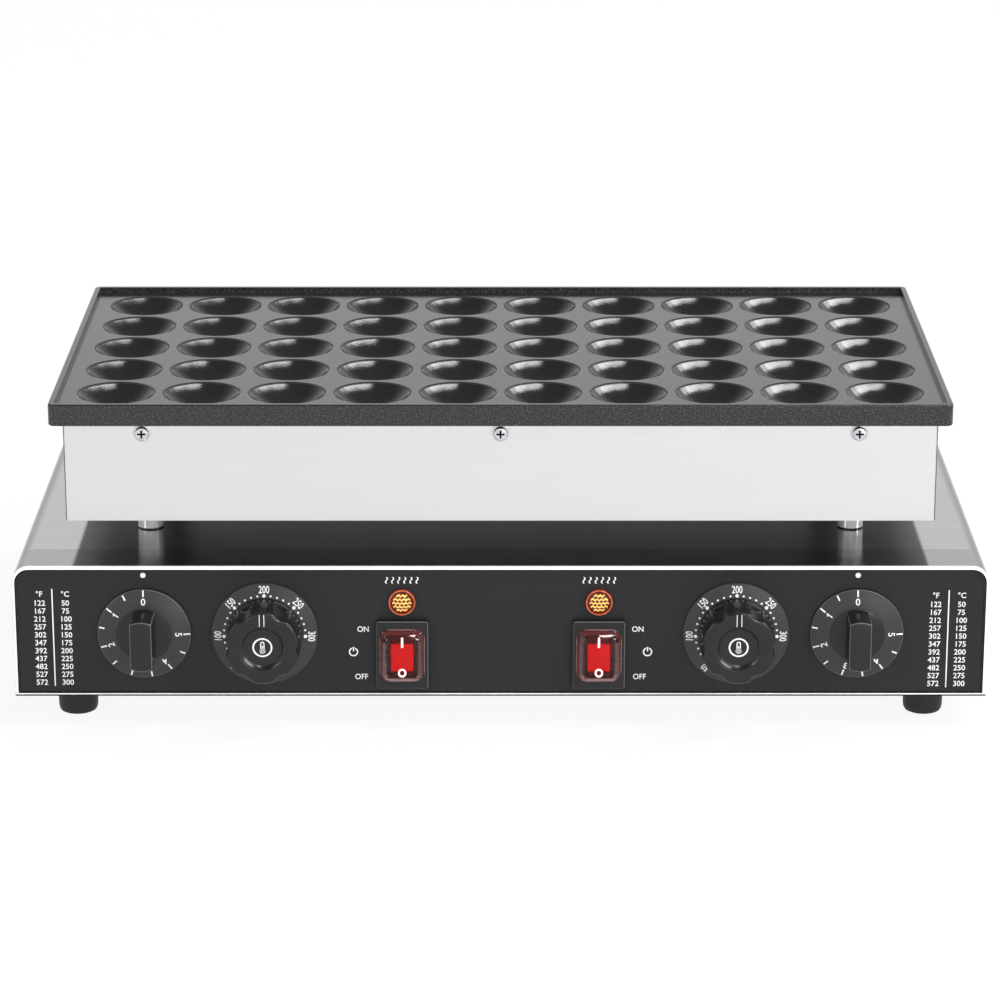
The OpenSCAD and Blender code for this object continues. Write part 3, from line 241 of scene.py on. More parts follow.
# finishes: every one is a grain on the part's own coordinates; metal unless it says otherwise
finishes = {
    "sheetSteel": {"color": (0.62, 0.625, 0.635), "shade": (0.56, 0.565, 0.575), "rough": (0.16, 0.26),
                   "grain": 900, "stretch": (0.02, 1, 1), "bump": 0.03},
    "skirtSatin": {"color": (0.013, 0.013, 0.0135), "shade": (0.009, 0.009, 0.0095), "metal": 0,
                   "rough": (0.38, 0.46), "grain": 2600, "bump": 0.06, "gloss": 0.62},
    # painted highlight: a paler plastic for the knobs' bevelled edges
    "rubbedEdge": {"color": (0.12, 0.12, 0.125), "shade": (0.06, 0.06, 0.063), "metal": 0,
                   "rough": (0.3, 0.4), "grain": 2600, "bump": 0.05, "gloss": 0.6},
    # painted shade: near black for the shadow line round the film and inside the screws' cross recesses
    "sealBlack": {"color": (0.003, 0.003, 0.003), "shade": (0.002, 0.002, 0.002), "metal": 0,
                  "rough": (0.7, 0.8), "grain": 2000, "bump": 0.03, "gloss": 0.1},
    # painted highlight: a near-white sheet for the hem's bright edge
    "hemSteel": {"color": (0.93, 0.93, 0.935), "shade": (0.88, 0.88, 0.885), "metal": 0.25,
                 "rough": (0.34, 0.44), "grain": 900, "stretch": (0.02, 1, 1), "bump": 0.02},
    "zincPlate": {"color": (0.72, 0.73, 0.75), "shade": (0.55, 0.56, 0.58), "rough": (0.2, 0.38),
                  "grain": 700, "bump": 0.06},
    "panelFilm": {"color": (0.010, 0.010, 0.0105), "shade": (0.008, 0.008, 0.0085), "metal": 0,
                  "rough": (0.48, 0.58), "grain": 3000, "bump": 0.04, "gloss": 0.34},
    "knobPlastic": {"color": (0.009, 0.009, 0.0095), "shade": (0.006, 0.006, 0.0065), "metal": 0,
                    "rough": (0.2, 0.28), "grain": 2600, "bump": 0.05, "gloss": 0.42},
    "switchPlastic": {"color": (0.009, 0.009, 0.0095), "shade": (0.006, 0.006, 0.0065), "metal": 0,
                      "rough": (0.22, 0.3), "grain": 2200, "bump": 0.03, "gloss": 0.4, "edge": 0.7 * mm},
    "footRubber": {"color": (0.014, 0.014, 0.014), "shade": (0.008, 0.008, 0.008), "metal": 0,
                   "rough": (0.5, 0.7), "grain": 1500, "bump": 0.12, "gloss": 0.4},
    "glandNylon": {"color": (0.018, 0.018, 0.018), "shade": (0.012, 0.012, 0.012), "metal": 0,
                   "rough": (0.38, 0.5), "grain": 1800, "bump": 0.06},
    "legendInk": {"color": (0.88, 0.88, 0.88), "shade": (0.80, 0.80, 0.80), "metal": 0,
                  "rough": (0.45, 0.6), "grain": 4000, "bump": 0.02},
    "blockPlastic": {"color": (0.78, 0.74, 0.62), "shade": (0.70, 0.66, 0.54), "metal": 0,
                     "rough": (0.4, 0.55), "grain": 900, "bump": 0.05},
    "bareBrass": {"color": (0.72, 0.55, 0.24), "shade": (0.58, 0.42, 0.17), "rough": (0.2, 0.35),
                  "grain": 800, "bump": 0.05},
    "drawnCopper": {"color": (0.72, 0.42, 0.28), "shade": (0.55, 0.30, 0.19), "rough": (0.25, 0.4),
                    "grain": 700, "bump": 0.05},
    "heatedSheath": {"color": (0.30, 0.27, 0.24), "shade": (0.16, 0.14, 0.13), "rough": (0.4, 0.6),
                     "grain": 300, "bump": 0.1},
    "mineralMat": {"color": (0.80, 0.76, 0.66), "shade": (0.62, 0.58, 0.48), "metal": 0,
                   "rough": (0.85, 1), "grain": 400, "stretch": (0.3, 1, 1), "bump": 0.6},
    "brightSheet": {"color": (0.82, 0.83, 0.84), "shade": (0.72, 0.73, 0.74), "rough": (0.12, 0.25),
                    "grain": 200, "bump": 0.08},
}
grainDepth = 0.00008
even = (1, 1, 1)


def objectPoint(mat, stretch=even):
    coords = addNode(mat, "ShaderNodeTexCoord")
    mapping = addNode(mat, "ShaderNodeMapping", Scale=stretch)
    link(mat, coords.outputs["Object"], mapping.inputs["Vector"])
    return mapping.outputs["Vector"]


def noiseFrom(mat, grain, stretch=even, detail=2, rough=0.5):
    noise = addNode(mat, "ShaderNodeTexNoise", Scale=grain, Detail=detail, Roughness=rough)
    link(mat, objectPoint(mat, stretch), noise.inputs["Vector"])
    return noise.outputs["Fac"]


def facing(mat):
    return axisParts(mat, addNode(mat, "ShaderNodeNewGeometry").outputs["Normal"])


def distanceFrom(mat, value, middle):
    off = addNode(mat, "ShaderNodeMath")
    off.operation = "SUBTRACT"
    off.inputs[1].default_value = middle
    link(mat, value, off.inputs[0])
    reach = addNode(mat, "ShaderNodeMath")
    reach.operation = "ABSOLUTE"
    link(mat, off.outputs[0], reach.inputs[0])
    return reach.outputs[0]


def bumpFrom(mat, shader, value, strength, depth):
    bump = addNode(mat, "ShaderNodeBump", Strength=strength, Distance=depth)
    link(mat, value, bump.inputs["Height"])
    link(mat, bump.outputs["Normal"], shader.inputs["Normal"])
    return bump


def softEdges(mat, bump, radius):
    # edges shade as if they were rounded off
    rounded = addNode(mat, "ShaderNodeBevel", Radius=radius)
    rounded.samples = 4
    link(mat, rounded.outputs["Normal"], bump.inputs["Normal"])


def brushedTone(mat, shader, s):
    grain = noiseFrom(mat, s["grain"], s.get("stretch", even), detail=4, rough=0.6)
    bump = bumpFrom(mat, shader, grain, s["bump"], grainDepth)
    if "edge" in s:
        softEdges(mat, bump, s["edge"])
    link(mat, spread(mat, grain, *s["rough"]), shader.inputs["Roughness"])
    setInputs(shader, {"Metallic": s.get("metal", 1), "Specular IOR Level": s.get("gloss", 0.5)})
    return colorMix(mat, spread(mat, grain, 0, 1), s["shade"], s["color"])


def grainFinish(name, s):
    mat, shader = startFinish(name)
    link(mat, brushedTone(mat, shader, s), shader.inputs["Base Color"])
    return mat


# brushed sheet of the base: a darker strip painted on the top in front of and behind the housing, a painted
# reflection; painted shade and a dimmer painted reflection on faces that turn sideways; rolled borders painted
# near white, a painted highlight
shellSteel = {
    "color": (0.47, 0.475, 0.485), "shade": (0.41, 0.415, 0.425), "rough": (0.09, 0.14), "grain": 900,
    "stretch": (0.015, 1, 1), "bump": 0.02, "middle": 0.75 * mm,
    "strip": (0.33, 0.335, 0.34), "paintedDimStripFrom": 125.9 * mm, "paintedDimStripFull": 126.6 * mm,
    "topFrom": 0.85, "topFull": 0.97,
    "border": (0.93, 0.93, 0.935), "borderFrom": 156.2 * mm, "borderFull": 156.7 * mm,
    "borderMetal": 0.25, "borderDull": 0.25,
    "bend": (0.44, 0.445, 0.45), "bendRim": (0.62, 0.62, 0.62),
    "bendFrom": 0.08, "bendFull": 0.5, "bendTo": 0.97, "bendEnd": 0.995,
}


def shellFinish(s):
    mat, shader = startFinish("shellSteel")
    tone = brushedTone(mat, shader, s)
    rough = shader.inputs["Roughness"].links[0].from_socket
    reach = distanceFrom(mat, axisParts(mat, objectPoint(mat))["Y"], s["middle"])
    # painted reflection: the top is darker in front of and behind the housing
    strip = spread(mat, reach, 0, 1, s["paintedDimStripFrom"], s["paintedDimStripFull"])
    onTop = spread(mat, facing(mat)["Z"], 0, 1, s["topFrom"], s["topFull"])
    strip = combine(mat, "MULTIPLY", strip, onTop)
    # painted highlight: the rolled borders are near white, less metallic and duller
    border = spread(mat, reach, 0, 1, s["borderFrom"], s["borderFull"])
    # painted shade: faces that turn sideways are darker, and their reflection dimmer
    sideways = distanceFrom(mat, facing(mat)["X"], 0)
    bend = spread(mat, sideways, 0, 1, s["bendFrom"], s["bendFull"])
    bend = combine(mat, "MULTIPLY", bend, spread(mat, sideways, 1, 0, s["bendTo"], s["bendEnd"]))
    bend = combine(mat, "MULTIPLY", bend, spread(mat, border, 1, 0, 0, 1))
    for name, where in (("strip", strip), ("bend", bend), ("border", border)):
        tone = colorMix(mat, where, tone, s[name])
    link(mat, tone, shader.inputs["Base Color"])
    link(mat, colorMix(mat, bend, white, s["bendRim"]), shader.inputs["Specular Tint"])
    dull = spread(mat, border, 0, s["borderDull"], 0, 1)
    link(mat, combine(mat, "ADD", rough, dull), shader.inputs["Roughness"])
    link(mat, spread(mat, border, 1, s["borderMetal"], 0, 1), shader.inputs["Metallic"])
    return mat


# bottom sheet, with painted shade on its upright edge faces
bottomSteel = {
    "color": (0.62, 0.625, 0.635), "shade": (0.56, 0.565, 0.575), "rough": (0.16, 0.26), "grain": 900,
    "stretch": (0.02, 1, 1), "bump": 0.03, "cut": (0.03, 0.03, 0.031), "cutFull": 0.2, "cutFrom": 0.5,
}


def bottomFinish(s):
    mat, shader = startFinish("bottomSteel")
    tone = brushedTone(mat, shader, s)
    # painted shade: the sheet's edge faces are near black
    cut = spread(mat, distanceFrom(mat, facing(mat)["Z"], 0), 1, 0, s["cutFull"], s["cutFrom"])
    link(mat, colorMix(mat, cut, tone, s["cut"]), shader.inputs["Base Color"])
    return mat


# housing sheet: painted shade down its rounded corners and on its downward faces
housingSteel = {
    "color": (0.755, 0.755, 0.76), "shade": (0.74, 0.74, 0.745), "rough": (0.28, 0.34), "grain": 900,
    # corner: painted shade down the rounded corners; under: painted shade on downward faces
    "stretch": (0.03, 1, 1), "bump": 0.012, "corner": (0.05, 0.05, 0.052),
    "cornerShadeFrom": 0.66, "cornerShadeFull": 0.74, "cornerShadeTo": 0.985, "cornerShadeEnd": 0.995,
    "under": (0.42, 0.42, 0.425), "underShadeFrom": -0.5, "underShadeFull": -0.9,
}


def housingFinish(s):
    mat, shader = startFinish("housingSteel")
    tone = brushedTone(mat, shader, s)
    normal = facing(mat)
    sideways = distanceFrom(mat, normal["X"], 0)
    # painted shade: a dark line down the rounded corners
    cornerShadeRise = spread(mat, sideways, 0, 1, s["cornerShadeFrom"], s["cornerShadeFull"])
    cornerShadeFall = spread(mat, sideways, 1, 0, s["cornerShadeTo"], s["cornerShadeEnd"])
    tone = colorMix(mat, combine(mat, "MULTIPLY", cornerShadeRise, cornerShadeFall), tone, s["corner"])
    # painted shade: downward faces are darker
    under = spread(mat, normal["Z"], 1, 0, s["underShadeFull"], s["underShadeFrom"])
    link(mat, colorMix(mat, under, tone, s["under"]), shader.inputs["Base Color"])
    return mat


# posts, with a painted shade ring at the foot where they stand on the base
postSteel = {
    "color": (0.98, 0.98, 0.98), "shade": (0.92, 0.92, 0.925), "rough": (0.12, 0.2), "grain": 1400,
    "metal": 0.25, "stretch": (1, 1, 4), "bump": 0.03,
    "foot": (0.01, 0.01, 0.01), "footShadeTall": 0.7 * mm, "footShadeSoft": 0.3 * mm,
}


def postFinish(s, seat):
    mat, shader = startFinish("postSteel")
    tone = brushedTone(mat, shader, s)
    height = axisParts(mat, objectPoint(mat))["Z"]
    # painted shade: a dark ring at the foot
    foot = spread(mat, height, 1, 0, seat + s["footShadeTall"], seat + s["footShadeTall"] + s["footShadeSoft"])
    link(mat, colorMix(mat, foot, tone, s["foot"]), shader.inputs["Base Color"])
    return mat


# dark non-stick coating on a sand casting: a fine grain, pale specks down its sides, dull lips on the pits
coating = {
    "color": (0.014, 0.014, 0.0145), "shade": (0.007, 0.007, 0.0075), "rough": (0.11, 0.17), "gloss": 0.53,
    "grain": 1300, "bumpTop": 0.28, "bumpSide": 0.9, "depth": 0.00014, "edge": 0.7 * mm,
    "sideTo": (0.2, 0.6), "speck": (0.085, 0.085, 0.088), "speckGrain": 950,
    "speckRange": (0.5, 0.72),
    "rimTall": 3.2 * mm, "lipHalf": 0.28 * mm, "lipSoft": 0.1 * mm, "lipDull": 0.6,
    "slopeFrom": (0.4, 0.55), "slopeTo": (0.85, 0.95),
}


def coatingFinish(s, deck):
    mat, shader = startFinish("plateCoating")
    grain = noiseFrom(mat, s["grain"], detail=5, rough=0.65)
    upward = facing(mat)["Z"]
    upright = spread(mat, upward, 1, 0, *s["sideTo"])
    specks = noiseFrom(mat, s["speckGrain"], detail=3, rough=0.6)
    pale = spread(mat, specks, 0, 1, *s["speckRange"])
    tone = colorMix(mat, spread(mat, grain, 0, 1), s["shade"], s["color"])
    tone = colorMix(mat, combine(mat, "MULTIPLY", upright, pale), tone, s["speck"])
    link(mat, tone, shader.inputs["Base Color"])
    fromLip = distanceFrom(mat, axisParts(mat, objectPoint(mat))["Z"], deck - s["lipHalf"])
    lip = spread(mat, fromLip, s["lipDull"], 0, s["lipHalf"], s["lipHalf"] + s["lipSoft"])
    lip = combine(mat, "MULTIPLY", lip, spread(mat, upward, 0, 1, *s["slopeFrom"]))
    lip = combine(mat, "MULTIPLY", lip, spread(mat, upward, 1, 0, *s["slopeTo"]))
    link(mat, combine(mat, "ADD", spread(mat, grain, *s["rough"]), lip), shader.inputs["Roughness"])
    setInputs(shader, {"Specular IOR Level": s["gloss"]})
    bump = bumpFrom(mat, shader, grain, s["bumpTop"], s["depth"])
    link(mat, spread(mat, upright, s["bumpTop"], s["bumpSide"], 0, 1), bump.inputs["Strength"])
    softEdges(mat, bump, s["edge"])
    return mat


# switch frame: black plastic with a painted highlight along the edges of its front, strongest at the top and right
framePlastic = {
    "color": (0.009, 0.009, 0.0095), "shade": (0.006, 0.006, 0.0065), "metal": 0, "rough": (0.22, 0.3),
    "grain": 2200, "bump": 0.03, "gloss": 0.4, "edge": 0.7 * mm, "rubbed": (0.105, 0.105, 0.11),
    "highlightWide": 0.55 * mm, "highlightSoft": 0.12 * mm, "highlightDeep": 0.3 * mm, "highlightFaint": 0.3,
}


def frameFinish(s, low, high):
    mat, shader = startFinish("framePlastic")
    tone = brushedTone(mat, shader, s)
    parts = axisParts(mat, objectPoint(mat))
    wrap = addNode(mat, "ShaderNodeMath")  # one finish serves the left and the right frame
    wrap.operation = "WRAP"
    wrap.inputs[1].default_value = abs(low.x + high.x)
    wrap.inputs[2].default_value = 0
    link(mat, parts["X"], wrap.inputs[0])
    middle = abs(low.x + high.x) / 2
    half = (high.x - low.x) / 2
    bands = []
    for reach, start, stop in ((wrap.outputs[0], middle - half, middle + half), (parts["Z"], low.z, high.z)):
        start, stop = start + s["highlightWide"], stop - s["highlightWide"]
        faint = spread(mat, reach, s["highlightFaint"], 0, start - s["highlightSoft"], start)
        full = spread(mat, reach, 0, 1, stop, stop + s["highlightSoft"])
        bands.append(combine(mat, "MAXIMUM", faint, full))
    front = spread(mat, parts["Y"], 1, 0, low.y + s["highlightDeep"], low.y + s["highlightDeep"] + s["highlightSoft"])
    # painted highlight: paler edges where the light catches the front
    rubbed = combine(mat, "MULTIPLY", combine(mat, "MAXIMUM", *bands), front)
    link(mat, colorMix(mat, rubbed, tone, s["rubbed"]), shader.inputs["Base Color"])
    return mat


# lit amber lens: the crest of the rim painted paler, a painted highlight, the dark well, the dome and the ridges
# that catch the glow
amber = {
    "amberRim": {"color": (0.50, 0.15, 0.08), "shade": (0.36, 0.07, 0.03), "glow": (1.0, 0.34, 0.16),
                 "strength": 0.05},
    "amberWell": {"color": (0.24, 0.02, 0.006), "shade": (0.14, 0.008, 0.003), "glow": (1.0, 0.10, 0.02),
                  "strength": 0.03},
    "amberBright": {"color": (0.85, 0.50, 0.12), "shade": (0.80, 0.38, 0.07), "glow": (1.0, 0.60, 0.16),
                    "strength": 0.65},
    "amberDark": {"color": (0.16, 0.045, 0.01), "shade": (0.06, 0.012, 0.004), "glow": (1.0, 0.25, 0.03),
                  "strength": 0.02},
}
amberGlass = {"grain": 420, "rough": 0.14, "dimmest": 0.55, "brightest": 1.2, "glowRange": (0.35, 0.65)}


def glowingTone(mat, shader, s, grain):
    # a mottled colour with a glow of its own
    noise = noiseFrom(mat, grain)
    tone = colorMix(mat, spread(mat, noise, 0, 1), s["shade"], s["color"])
    link(mat, tone, shader.inputs["Base Color"])
    setInputs(shader, {"Emission Color": (*s["glow"], 1), "Emission Strength": s["strength"]})
    return noise


def amberFinish(name, s, glass):
    mat, shader = startFinish(name)
    noise = glowingTone(mat, shader, s, glass["grain"])
    dim, bright = s["strength"] * glass["dimmest"], s["strength"] * glass["brightest"]
    link(mat, spread(mat, noise, dim, bright, *glass["glowRange"]), shader.inputs["Emission Strength"])
    setInputs(shader, {"Roughness": glass["rough"]})
    return mat


# red rocker, lit by the lamp behind its middle; its ends are painted darker, painted shade
rockerRed = {
    "color": (0.40, 0.002, 0.004), "shade": (0.05, 0.001, 0.001), "glow": (1.0, 0.0, 0.002),
    "strength": 0.27, "edgeGlow": 0.006, "lit": 7.2 * mm, "dark": 8.0 * mm, "drop": 0.7 * mm,
    "rough": 0.3, "gloss": 0.15,
}


def rockerFinish(s, middle):
    mat, shader = startFinish("rockerRed")
    setInputs(shader, {"Roughness": s["rough"], "Specular IOR Level": s["gloss"]})
    setInputs(shader, {"Emission Color": (*s["glow"], 1)})
    reach = distanceFrom(mat, axisParts(mat, objectPoint(mat))["Z"], middle - s["drop"])
    lit = spread(mat, reach, 1, 0, s["lit"], s["dark"])
    # painted shade: the colour darkens towards the ends
    link(mat, colorMix(mat, lit, s["shade"], s["color"]), shader.inputs["Base Color"])
    link(mat, spread(mat, lit, s["edgeGlow"], s["strength"], 0, 1), shader.inputs["Emission Strength"])
    return mat


# white marks on the lit rocker; their glow is painted light
litMark = {
    "color": (0.90, 0.88, 0.88), "shade": (0.84, 0.82, 0.82), "glow": (1, 1, 1), "strength": 1.3,
    "grain": 3000, "rough": 0.5,
}


def litMarkFinish(s):
    mat, shader = startFinish("litMark")
    # painted light: the marks glow of their own
    glowingTone(mat, shader, s, s["grain"])
    setInputs(shader, {"Roughness": s["rough"]})
    return mat


# clear red cover, its side walls cloudier than its front; each part has a faint glow, painted light
coverRed = {
    "coverRed": {"color": (0.96, 0.74, 0.74), "shade": (0.94, 0.70, 0.70), "clear": 1, "ior": 1.2,
                 "rough": (0.01, 0.03), "glow": (1.0, 0.1, 0.1), "strength": 0.004},
    "coverBevel": {"color": (0.92, 0.62, 0.62), "shade": (0.90, 0.58, 0.58), "clear": 1, "ior": 1.5,
                   "rough": (0.03, 0.06), "glow": (1.0, 0.1, 0.1), "strength": 0.004},
    "coverWall": {"color": (0.70, 0.25, 0.25), "shade": (0.64, 0.20, 0.20), "clear": 0.92, "ior": 1.5,
                  "rough": (0.03, 0.06), "glow": (1.0, 0.2, 0.2), "strength": 0.016},
    "coverLip": {"color": (0.50, 0.26, 0.26), "shade": (0.44, 0.22, 0.22), "clear": 0.6, "ior": 1.4,
                 "rough": (0.08, 0.12), "glow": (1.0, 0.4, 0.4), "strength": 0.012},
}
coverGrain = 120


def coverFinish(name, s):
    mat, shader = startFinish(name)
    # painted light: every part of the cover glows faintly red
    noise = glowingTone(mat, shader, s, coverGrain)
    link(mat, spread(mat, noise, *s["rough"]), shader.inputs["Roughness"])
    setInputs(shader, {"Transmission Weight": s["clear"], "IOR": s["ior"]})
    return mat


def middleOf(node):
    low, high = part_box(node)
    return (low + high) / 2


made = {name: grainFinish(name, s) for name, s in finishes.items()}
made["plateCoating"] = coatingFinish(coating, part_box("baking_plate")[1].z - coating["rimTall"])
made["shellSteel"] = shellFinish(shellSteel)
made["housingSteel"] = housingFinish(housingSteel)
made["postSteel"] = postFinish(postSteel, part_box("base_shell")[1].z)
made["bottomSteel"] = bottomFinish(bottomSteel)
made["framePlastic"] = frameFinish(framePlastic, *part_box("switch_frame_left"))
made["litMark"] = litMarkFinish(litMark)
made["rockerRed"] = rockerFinish(rockerRed, middleOf("switch_frame_left").z)
for name, s in amber.items():
    made[name] = amberFinish(name, s, amberGlass)
for name, s in coverRed.items():
    made[name] = coverFinish(name, s)
print("finishes made:", len(made))

# the CAD nodes take the finish of their slot, and a few have one of their own
slotFinish = {
    "coated_casting": "plateCoating", "satin_steel": "shellSteel", "post_steel": "postSteel",
    "fastener_steel": "zincPlate", "overlay_print": "panelFilm", "knob_black": "knobPlastic",
    "switch_black": "switchPlastic", "cover_red": "coverRed", "rocker_red": "rockerRed",
    "lens_amber": "amberRim", "foot_rubber": "footRubber", "gland_black": "glandNylon",
    "control_metal": "zincPlate", "lamp_black": "glandNylon", "block_cream": "blockPlastic",
    "brass_screw": "bareBrass", "tube_copper": "drawnCopper", "element_steel": "heatedSheath",
    "mat_fibre": "mineralMat", "reflector_alu": "brightSheet",
}
nodeFinish = {
    "heater_housing": "housingSteel", "front_panel": "sheetSteel", "back_panel": "sheetSteel",
    "bottom_plate": "bottomSteel", "thermostat_bezel_left": "skirtSatin",
    "thermostat_bezel_right": "skirtSatin", "switch_frame_left": "framePlastic",
    "switch_frame_right": "framePlastic",
}


def dressNodes():
    for sub in frame["record"]["subparts"]:
        node = cadNodes[sub["node"]]
        name = nodeFinish.get(sub["node"], slotFinish[sub["material_slot"]])
        node.data.materials.clear()
        node.data.materials.append(made[name])


dressNodes()
print("CAD nodes dressed")

# modelling helpers: a piece is modelled in millimetres with its face up, then settled on the panel
smoothAngle = 32
spare = 1  # a cutter reaches this far past what it cuts


def selectOnly(*objs):
    bpy.ops.object.select_all(action="DESELECT")
    for obj in objs:
        obj.select_set(True)
    bpy.context.view_layer.objects.active = objs[0]


def applyMatrix(obj, matrix):
    obj.matrix_world = matrix
    selectOnly(obj)
    bpy.ops.object.transform_apply(location=True, rotation=True, scale=True)


def shift(obj, x, y, z=0):
    applyMatrix(obj, Matrix.Translation((x, y, z)))
    return obj


def turnBy(angle, axis):
    return Matrix.Rotation(math.radians(angle), 4, axis)


toMetres = Matrix.Diagonal((mm, mm, mm, 1))


def settle(obj, place):
    applyMatrix(obj, Matrix.Translation(place) @ turnBy(90, "X") @ toMetres)


def useModifier(obj, kind, **settings):
    selectOnly(obj)
    bpy.ops.object.modifier_add(type=kind)
    modifier = obj.modifiers[-1]
    for key, value in settings.items():
        setattr(modifier, key, value)
    bpy.ops.object.modifier_apply(modifier=modifier.name)


def roundEdges(obj, width, segments=3, angle=35, edgeSlot=-1):
    useModifier(obj, "BEVEL", width=width, segments=segments, limit_method="ANGLE",
                angle_limit=math.radians(angle), material=edgeSlot)


def cutAway(obj, cutter):
    useModifier(obj, "BOOLEAN", operation="DIFFERENCE", solver="EXACT", object=cutter)
    bpy.data.objects.remove(cutter)


def nameAs(piece, name):
    piece.name = name
    piece.data.name = name
    return piece


def joinAs(name, objs):
    selectOnly(*objs)
    if len(objs) > 1:
        bpy.ops.object.join()
    return nameAs(bpy.context.object, name)


def copiesOf(first, count):
    # one model and its copies, each with its own mesh
    every = [first]
    while len(every) < count:
        selectOnly(first)
        bpy.ops.object.duplicate()
        every.append(bpy.context.object)
    return every


def dress(obj, *names):
    for name in names:
        obj.data.materials.append(made[name])


def finishPiece(piece, body, finish=None, stoodFor=()):
    if finish:
        piece.data.materials.clear()
        dress(piece, finish)
    selectOnly(piece)
    bpy.ops.object.shade_smooth_by_angle(angle=math.radians(smoothAngle))
    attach(piece, body)
    if stoodFor:
        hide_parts(*stoodFor)


def placePair(base, places, body, finish=None, node=None):
    # a left and a right copy of one model, each settled at its own place
    label = base.name
    for side, place, piece in zip(sides, places, copiesOf(base, 2)):
        nameAs(piece, f"{label}_{side}")
        settle(piece, place)
        stoodFor = [node.format(side)] if node else ()
        finishPiece(piece, body.format(side), finish, stoodFor)


def seatOf(node):
    # where a control sits: the middle of its back
    low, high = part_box(node)
    return ((low.x + high.x) / 2, high.y, (low.z + high.z) / 2)


# mesh helpers: starts, and what is done to them in edit mode
def startCircle(count, radius, height, fill="NGON"):
    bpy.ops.object.select_all(action="DESELECT")
    bpy.ops.mesh.primitive_circle_add(vertices=count, radius=radius, fill_type=fill, location=(0, 0, height))
    bpy.ops.object.transform_apply(location=True)
    return bpy.context.object


def startPlate(width, tall, height=0):
    bpy.ops.object.select_all(action="DESELECT")
    bpy.ops.mesh.primitive_plane_add(size=1, location=(0, 0, height))
    plate = bpy.context.object
    plate.scale = (width, tall, 1)
    bpy.ops.object.transform_apply(location=True, scale=True)
    return plate


def startGrid(across, along):
    bpy.ops.object.select_all(action="DESELECT")
    bpy.ops.mesh.primitive_grid_add(x_subdivisions=across, y_subdivisions=along, size=1)
    return bpy.context.object


def editAll():
    bpy.ops.object.mode_set(mode="EDIT")
    bpy.ops.mesh.select_all(action="SELECT")


def raiseFaces(rise):
    bpy.ops.mesh.extrude_region_move(TRANSFORM_OT_translate={"value": (0, 0, rise)})


def narrow(share, height):
    bpy.ops.transform.resize(value=(share, share, 1), center_override=(0, 0, height))


def recalculate():
    bpy.ops.mesh.select_all(action="SELECT")
    bpy.ops.mesh.normals_make_consistent(inside=False)
    bpy.ops.object.mode_set(mode="OBJECT")


def thicken(height):
    editAll()
    raiseFaces(height)
    recalculate()


def turned(rings, count=96):
    # rings of (radius, height), from the back round to the front
    radius, height = rings[0]
    piece = startCircle(count, radius, height)
    editAll()
    for newRadius, newHeight in rings[1:]:
        raiseFaces(newHeight - height)
        narrow(newRadius / radius, newHeight)
        radius, height = newRadius, newHeight
    recalculate()
    return piece


def boxCutter(width, long, low, high):
    cutter = startPlate(width, long, low)
    thicken(high - low)
    return cutter


def selectIn(obj, kind, wanted):
    # picks the points or faces that pass a test, and stays in edit mode
    bpy.ops.object.mode_set(mode="EDIT")
    bpy.ops.mesh.select_all(action="DESELECT")
    bpy.ops.object.mode_set(mode="OBJECT")
    for element in getattr(obj.data, kind):
        element.select = wanted(element)
    bpy.ops.object.mode_set(mode="EDIT")


def roundedPlate(width, tall, corner, steps, topOnly=False):
    plate = startPlate(width, tall)
    selectIn(plate, "vertices", lambda vertex: vertex.co.y > 0 or not topOnly)
    bpy.ops.mesh.bevel(offset=corner, segments=steps, affect="VERTICES")
    return plate


def deleteFaces(obj, unwanted):
    selectIn(obj, "polygons", unwanted)
    bpy.ops.mesh.delete(type="FACE")
    bpy.ops.object.mode_set(mode="OBJECT")


# print: marks that stand a hair proud of what they are printed on
ink = {
    "sunk": 0.03, "thick": 0.08, "edge": 0.032, "weight": 0.012, "merge": 0.0005, "flagTurn": -45,
    "flagWide": 0.11, "flagLong": 0.3, "flagAt": (-0.1, 0.24),  # shares of a digit's size
}


def inkBar(width, length):
    bar = startPlate(width, length, -ink["sunk"])
    thicken(ink["thick"])
    roundEdges(bar, ink["edge"], 2)
    return bar


def inkDot(radius, count=20):
    return turned([(radius, -ink["sunk"]), (radius, ink["thick"] - ink["sunk"])], count)


def inkRing(outer, inner, count=32):
    ring = startCircle(count, outer, -ink["sunk"], "NOTHING")
    editAll()
    bpy.ops.mesh.extrude_edges_move(TRANSFORM_OT_translate={"value": (0, 0, 0)})
    narrow(inner / outer, -ink["sunk"])
    thicken(ink["thick"])
    return ring


def inkText(words, size):
    bpy.ops.object.select_all(action="DESELECT")
    bpy.ops.object.text_add()
    text = bpy.context.object.data
    text.body = words
    text.size = size
    text.offset = ink["weight"] * size
    text.align_x = "CENTER"
    text.align_y = "CENTER"
    text.extrude = ink["thick"] / 2
    text.resolution_u = 3
    bpy.ops.object.convert(target="MESH")
    label = shift(bpy.context.object, 0, 0, ink["thick"] / 2 - ink["sunk"])
    editAll()
    bpy.ops.mesh.remove_doubles(threshold=ink["merge"])
    bpy.ops.object.mode_set(mode="OBJECT")
    return label


def inkDigit(digit, size):
    label = inkText(digit, size)
    if digit != "1":
        return [label]
    flag = inkBar(size * ink["flagWide"], size * ink["flagLong"])
    across, up = ink["flagAt"]
    applyMatrix(flag, Matrix.Translation((across * size, up * size, 0)) @ turnBy(ink["flagTurn"], "Z"))
    return [label, flag]


def inkWave(width, height, swing, count=14):
    # one upright wavy stroke
    wave = startGrid(1, count)
    for vertex in wave.data.vertices:
        along = vertex.co.y
        vertex.co.x = vertex.co.x * width + swing * math.sin(along * 2 * math.pi)
        vertex.co.y = along * height
        vertex.co.z = -ink["sunk"]
    thicken(ink["thick"])
    return wave


